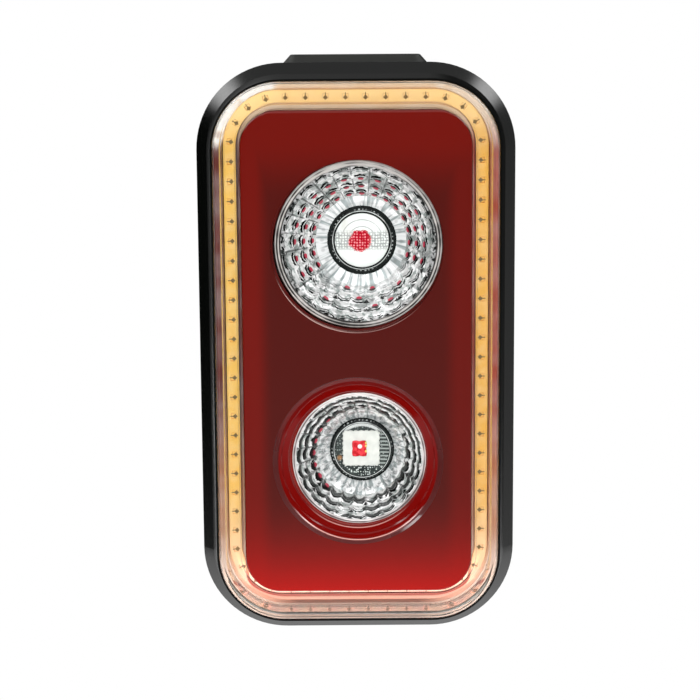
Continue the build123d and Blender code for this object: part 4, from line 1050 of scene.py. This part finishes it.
def die_finish(name, glint_at, dots_at):
    """The red die, magnified: a painted white highlight near its top and yellow bond dots at its
    edge.
    """
    material, add, place = new_material(name)
    colour = add("Mix", add("MapRange", add("TexNoise", place, 1 / (0.5 * MM)), 0.35, 0.65),
                 "#b40c18", "#e43a44")
    marks = [(glint_at, 0.34, "#fff2f2")] + [(spot, 0.2, "#ece070") for spot in dots_at]
    for spot, size, tint in marks:
        reach, _ = from_centre(add, place, LOWER_Z, spot)
        near_spot = add("MapRange", reach, 0.5 * size * MM, size * MM, 0.95, 0.0)
        colour = add("Mix", near_spot, colour, tint)
    add("OutputMaterial", add("BsdfPrincipled", Base_Color=colour, Roughness=0.2, IOR=1.5))
    return material


# %% Lower optic
LOWER_RIM = (0.15, 0.08)
LOWER_HUB = (0.52, 0.36)
LOWER_ROWS = (3.9, 5.3, 6.3, 7.0, 7.6)
LOWER_DEEP = 5.1
lower_silver = facet_finish(
    "lower_facets_silver", arc_start=0.2, arc_half=0.26, hub_arcs=0.5, side_dark=0.0, rays=0.0,
    hub_shade=0.2, patch_shade=0.9, seam_shade=0.7, ray_twist=0.15, last_drop_row=1.0,
    drop_chance=lambda height, side: (side, -0.9, -0.4, 0.9, 0.0))
bowl = facet_bowl(LOWER_Z, LOWER_RIM, LOWER_HUB, LOWER_ROWS, 1.4, 1.0, (0.12, 0.2, 0.22, 0.2))
rim_profile = [(7.6, 1.4), (7.64, 1.2), (7.75, 1.12), (7.9, 1.15), (8.03, 1.3)]
flange_profile = [(7.75, 1.8), (7.9, 1.55), (8.19, 1.35)]
ring_profile = [(radius, LOWER_DEEP - rise) for radius, rise in
                ((3.3, 0.35), (3.42, 0.5), (3.5, 0.3), (3.7, 0.0), (3.9, 0.05))]
field_profile = [(radius, LOWER_DEEP - rise) for radius, rise in
                 ((0.02, 0.1), (1.6, 0.1), (2.6, 0.2), (3.35, 0.3))]
package = scalloped_plate((0.42, 0.55), (2.26, 2.2), 7, 0.14, LOWER_DEEP - 0.15, 0.3)
die = scalloped_plate((0.2, 0.56), (0.92, 1.0), 2, 0.08, LOWER_DEEP - 0.45, 0.25)
lower_pieces = [
    finished_piece("lower_optic_facets", bowl, lower_silver),
    finished_piece("lower_optic_rim", turned_ring(LOWER_Z, rim_profile, LOWER_RIM),
                   ridged_rim("clear_rim_white", LOWER_Z, LOWER_RIM, "#6a605f", "#efe9e8")),
    finished_piece("lower_optic_flange", turned_ring(LOWER_Z, flange_profile),
                   mottled("clear_flange_over_collar", "#741813", "#94312b", 3.0, 0.1, ior=1.585)),
    finished_piece("lower_hub_ring", turned_ring(LOWER_Z, ring_profile, LOWER_HUB, scallop=0.12),
                   hub_ring_finish("hub_ring_lower", LOWER_Z, LOWER_HUB, 3.42, 3.66)),
    finished_piece("lower_hub_field", turned_ring(LOWER_Z, field_profile, LOWER_HUB),
                   dotted_field("hub_field_dotted", LOWER_Z, LOWER_HUB)),
    finished_piece("lower_package", package,
                   mottled("package_silicone_white", "#bcc0ba", "#e4e6e0", 0.8, 0.3)),
    finished_piece("lower_die", die,
                   die_finish("die_red", (0.25, 0.85), ((1.02, 0.9), (1.02, 0.25), (1.02, 1.3)))),
]
for piece in lower_pieces:
    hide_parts("lower_optic")
print("lower facets:", len(lower_pieces[0].data.polygons), "faces")

# %% [markdown]
# The strap that holds the bracket on the seat post is moulded silicone rubber: a flat band with
# a thicker bead along both edges, a slot at each end for a hook, and fine ribs on the end tabs
# for the fingers. A flat strip bent by a curve modifier would do for a plain band. With beads,
# ribs and slots it is simpler to carry one cross section along the path as rings of points. The
# slots are cells left open, with walls round them.

# %% Strap path
STRAP_MID_R = 14.9
STRAP_TURN = (18.45, -9.0)
STRAP_END_Y = -17.6
STRAP_HALF = (6.5, 1.2)
STRAP_STEPS = 24
HOOK_SLOT_Y = (-9.65, -11.7, -13.75)
HOOK_SLOT_HALF = 2.7
RIB_PITCH = 0.35
TAB_TIP = ((1.2, 1.0, 1.0), (0.7, 0.93, 1.0), (0.3, 0.83, 0.95), (0.0, 0.7, 0.6))

turn = Vector(STRAP_TURN)
leave = math.atan2(turn.y, turn.x) + math.acos(STRAP_MID_R / turn.length)
slanted = Vector((math.cos(leave), math.sin(leave)))
right_half = []
for step in range(STRAP_STEPS + 1):
    angle = math.pi / 2 + (leave - math.pi / 2) * step / STRAP_STEPS
    outward = Vector((math.cos(angle), math.sin(angle)))
    right_half.append((outward * STRAP_MID_R, outward, 0.0, 1.0, 1.0))
for share in (0.25, 0.5, 0.75, 0.94):
    right_half.append(((slanted * STRAP_MID_R).lerp(turn, share), slanted, 0.0, 1.0, 1.0))
right_half.append((turn, (slanted + Vector((1, 0))).normalized(), 0.0, 1.0, 1.0))
tab = [(y, 0.0, 1.0, 1.0) for y in HOOK_SLOT_Y]
tab += [(HOOK_SLOT_Y[-1] - RIB_PITCH * k, float(k % 2 == 0), 1.0, 1.0) for k in range(1, 8)]
tab += [(STRAP_END_Y + from_end, 0.0, wide, thick) for from_end, wide, thick in TAB_TIP]
right_half += [(Vector((turn.x, y)), Vector((1, 0)), rib, wide, thick)
               for y, rib, wide, thick in tab]
left_half = [(Vector((-spot.x, spot.y)), Vector((-outward.x, outward.y)), *rest)
             for spot, outward, *rest in right_half[1:]]
strap_path = left_half[::-1] + right_half
print("strap stations:", len(strap_path))

# %% Strap band
BEAD = 0.25
half_width, half_thick = STRAP_HALF
face = half_thick - BEAD
outer_side = [(-5.9, half_thick), (-5.2, half_thick), (-4.8, face), (-HOOK_SLOT_HALF, face),
              (0.0, face), (HOOK_SLOT_HALF, face), (4.8, face), (5.2, half_thick),
              (5.9, half_thick)]
edge = [(6.32, 1.02), (half_width, 0.6), (half_width, -0.6), (6.32, -1.02)]
inner_side = [(width, -half_thick) for width in (5.9, HOOK_SLOT_HALF, 0.0, -HOOK_SLOT_HALF, -5.9)]
section = outer_side + edge + inner_side + [(-width, thick) for width, thick in edge[::-1]]
RIBBED = range(2, 7)
OUTER_SLOT = (3, 4, 5)
INNER_SLOT = (16, 15, 14)


def beside_slot(spot):
    """True for a spot within the length of a hook slot."""
    return abs(spot.x) > turn.x - 0.1 and HOOK_SLOT_Y[2] - 0.01 < spot.y < HOOK_SLOT_Y[0] + 0.01


bm = bmesh.new()
rings = []
for spot, outward, rib, wide, thick in strap_path:
    ring = []
    for index, (across, out) in enumerate(section):
        place = spot + outward * (out * thick + (BEAD * rib if index in RIBBED else 0.0))
        ring.append(bm.verts.new((place.x * MM, place.y * MM, across * wide * MM)))
    rings.append(ring)
for index, (near, far) in enumerate(zip(rings, rings[1:])):
    in_slot = beside_slot(strap_path[index][0]) and beside_slot(strap_path[index + 1][0])
    for k in range(len(section)):
        m = (k + 1) % len(section)
        if not (in_slot and (k in OUTER_SLOT[:2] or k in INNER_SLOT[1:])):
            bm.faces.new((near[k], far[k], far[m], near[m]))
    if in_slot:
        for top, under in (OUTER_SLOT[0], INNER_SLOT[0]), (OUTER_SLOT[2], INNER_SLOT[2]):
            bm.faces.new((near[top], far[top], far[under], near[under]))
for (spot, *_), ring in zip(strap_path, rings):
    if beside_slot(spot) and round(spot.y, 3) != round(HOOK_SLOT_Y[1], 3):
        for a, b in ((0, 1), (1, 2)):
            bm.faces.new((ring[OUTER_SLOT[a]], ring[OUTER_SLOT[b]], ring[INNER_SLOT[b]],
                          ring[INNER_SLOT[a]]))
for tip in (rings[0], rings[-1]):
    bm.faces.new(tip)
bmesh.ops.recalc_face_normals(bm, faces=bm.faces)
strap = finished_piece("strap_band", bm, silicone_black, body="mount", crease=CREASE)
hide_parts("post_strap")
print("strap faces:", len(strap.data.polygons))

# %% [markdown]
# Between the bracket and the post lies a rubber saddle. Its grooves let water out and help it
# grip, and its edges are rounded as a moulded part's are. Booleans could cut the grooves, but a
# plan drawn with them in place and raised through a few levels gives cleaner faces. The foam
# behind the battery is a cut slab that bulges a little where it is squeezed.

# %% Saddle pad
PAD_ARC = (205, 335)
PAD_RADII = (13.6, 15.95)
PAD_HALF_Z = 11.0
PAD_ROUNDING = 0.35
PAD_STEPS = 48
GROOVES = 12
GROOVE_STEPS = 8
GROOVE_DEEP = 0.35

first, last = [math.radians(angle) for angle in PAD_ARC]
inner_r, outer_r = PAD_RADII
plan = []
for k in range(PAD_STEPS + 1):
    end = PAD_ROUNDING if k in (0, PAD_STEPS) else 0.0
    plan.append((outer_r - end, first + (last - first) * k / PAD_STEPS))
for k in range(GROOVE_STEPS * GROOVES, -1, -1):
    deep = GROOVE_DEEP if k % GROOVE_STEPS in (3, 4, 5) else 0.0
    end = PAD_ROUNDING if k in (0, GROOVE_STEPS * GROOVES) else 0.0
    plan.append((inner_r + max(deep, end), first + (last - first) * k / (GROOVE_STEPS * GROOVES)))
bm = bmesh.new()
rings = []
half_rings = [(PAD_HALF_Z, 0.3), (PAD_HALF_Z - 0.1, 0.1), (PAD_HALF_Z - PAD_ROUNDING, 0.0)]
for z, shrink in [(-z, shrink) for z, shrink in half_rings] + half_rings[::-1]:
    ring = []
    for radius, angle in plan:
        radius += (shrink if radius < (inner_r + outer_r) / 2 else -shrink)
        ring.append(bm.verts.new((radius * math.cos(angle) * MM, radius * math.sin(angle) * MM,
                                  z * MM)))
    rings.append(ring)
for near, far in zip(rings, rings[1:]):
    skin(bm, near, far)
for cap in (rings[0], rings[-1]):
    bm.faces.new(cap)
bmesh.ops.triangulate(bm, faces=[face for face in bm.faces if len(face.verts) > 4])
bmesh.ops.recalc_face_normals(bm, faces=bm.faces)
pad = finished_piece("saddle_rubber", bm, silicone_black, body="mount", crease=CREASE)
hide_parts("saddle_pad")
print("pad faces:", len(pad.data.polygons))

# %% Battery foam
FOAM_CUTS = 7
FOAM_BULGE = 0.04
foam_low, foam_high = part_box("battery_pad")
foam_size, foam_middle = foam_high - foam_low, (foam_low + foam_high) / 2
bm = bmesh.new()
bmesh.ops.create_cube(bm, size=1.0)
bmesh.ops.subdivide_edges(bm, edges=bm.edges, cuts=FOAM_CUTS, use_grid_fill=True)
for vertex in bm.verts:
    x, y, z = [2 * c for c in vertex.co]
    bulge = 1 - FOAM_BULGE * (1 - (1 - abs(y)) ** 2)
    vertex.co = foam_middle + Vector((x * bulge * foam_size.x, y * foam_size.y,
                                      z * bulge * foam_size.z)) / 2
foam = finished_piece("battery_foam", bm, foam_grey, crease=CREASE)
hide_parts("battery_pad")
print("foam faces:", len(foam.data.polygons))

# %% [markdown]
# Last, the view transform is set to Standard, so that colours show as they are set.

# %% Settings and finish
bpy.context.scene.view_settings.view_transform = "Standard"
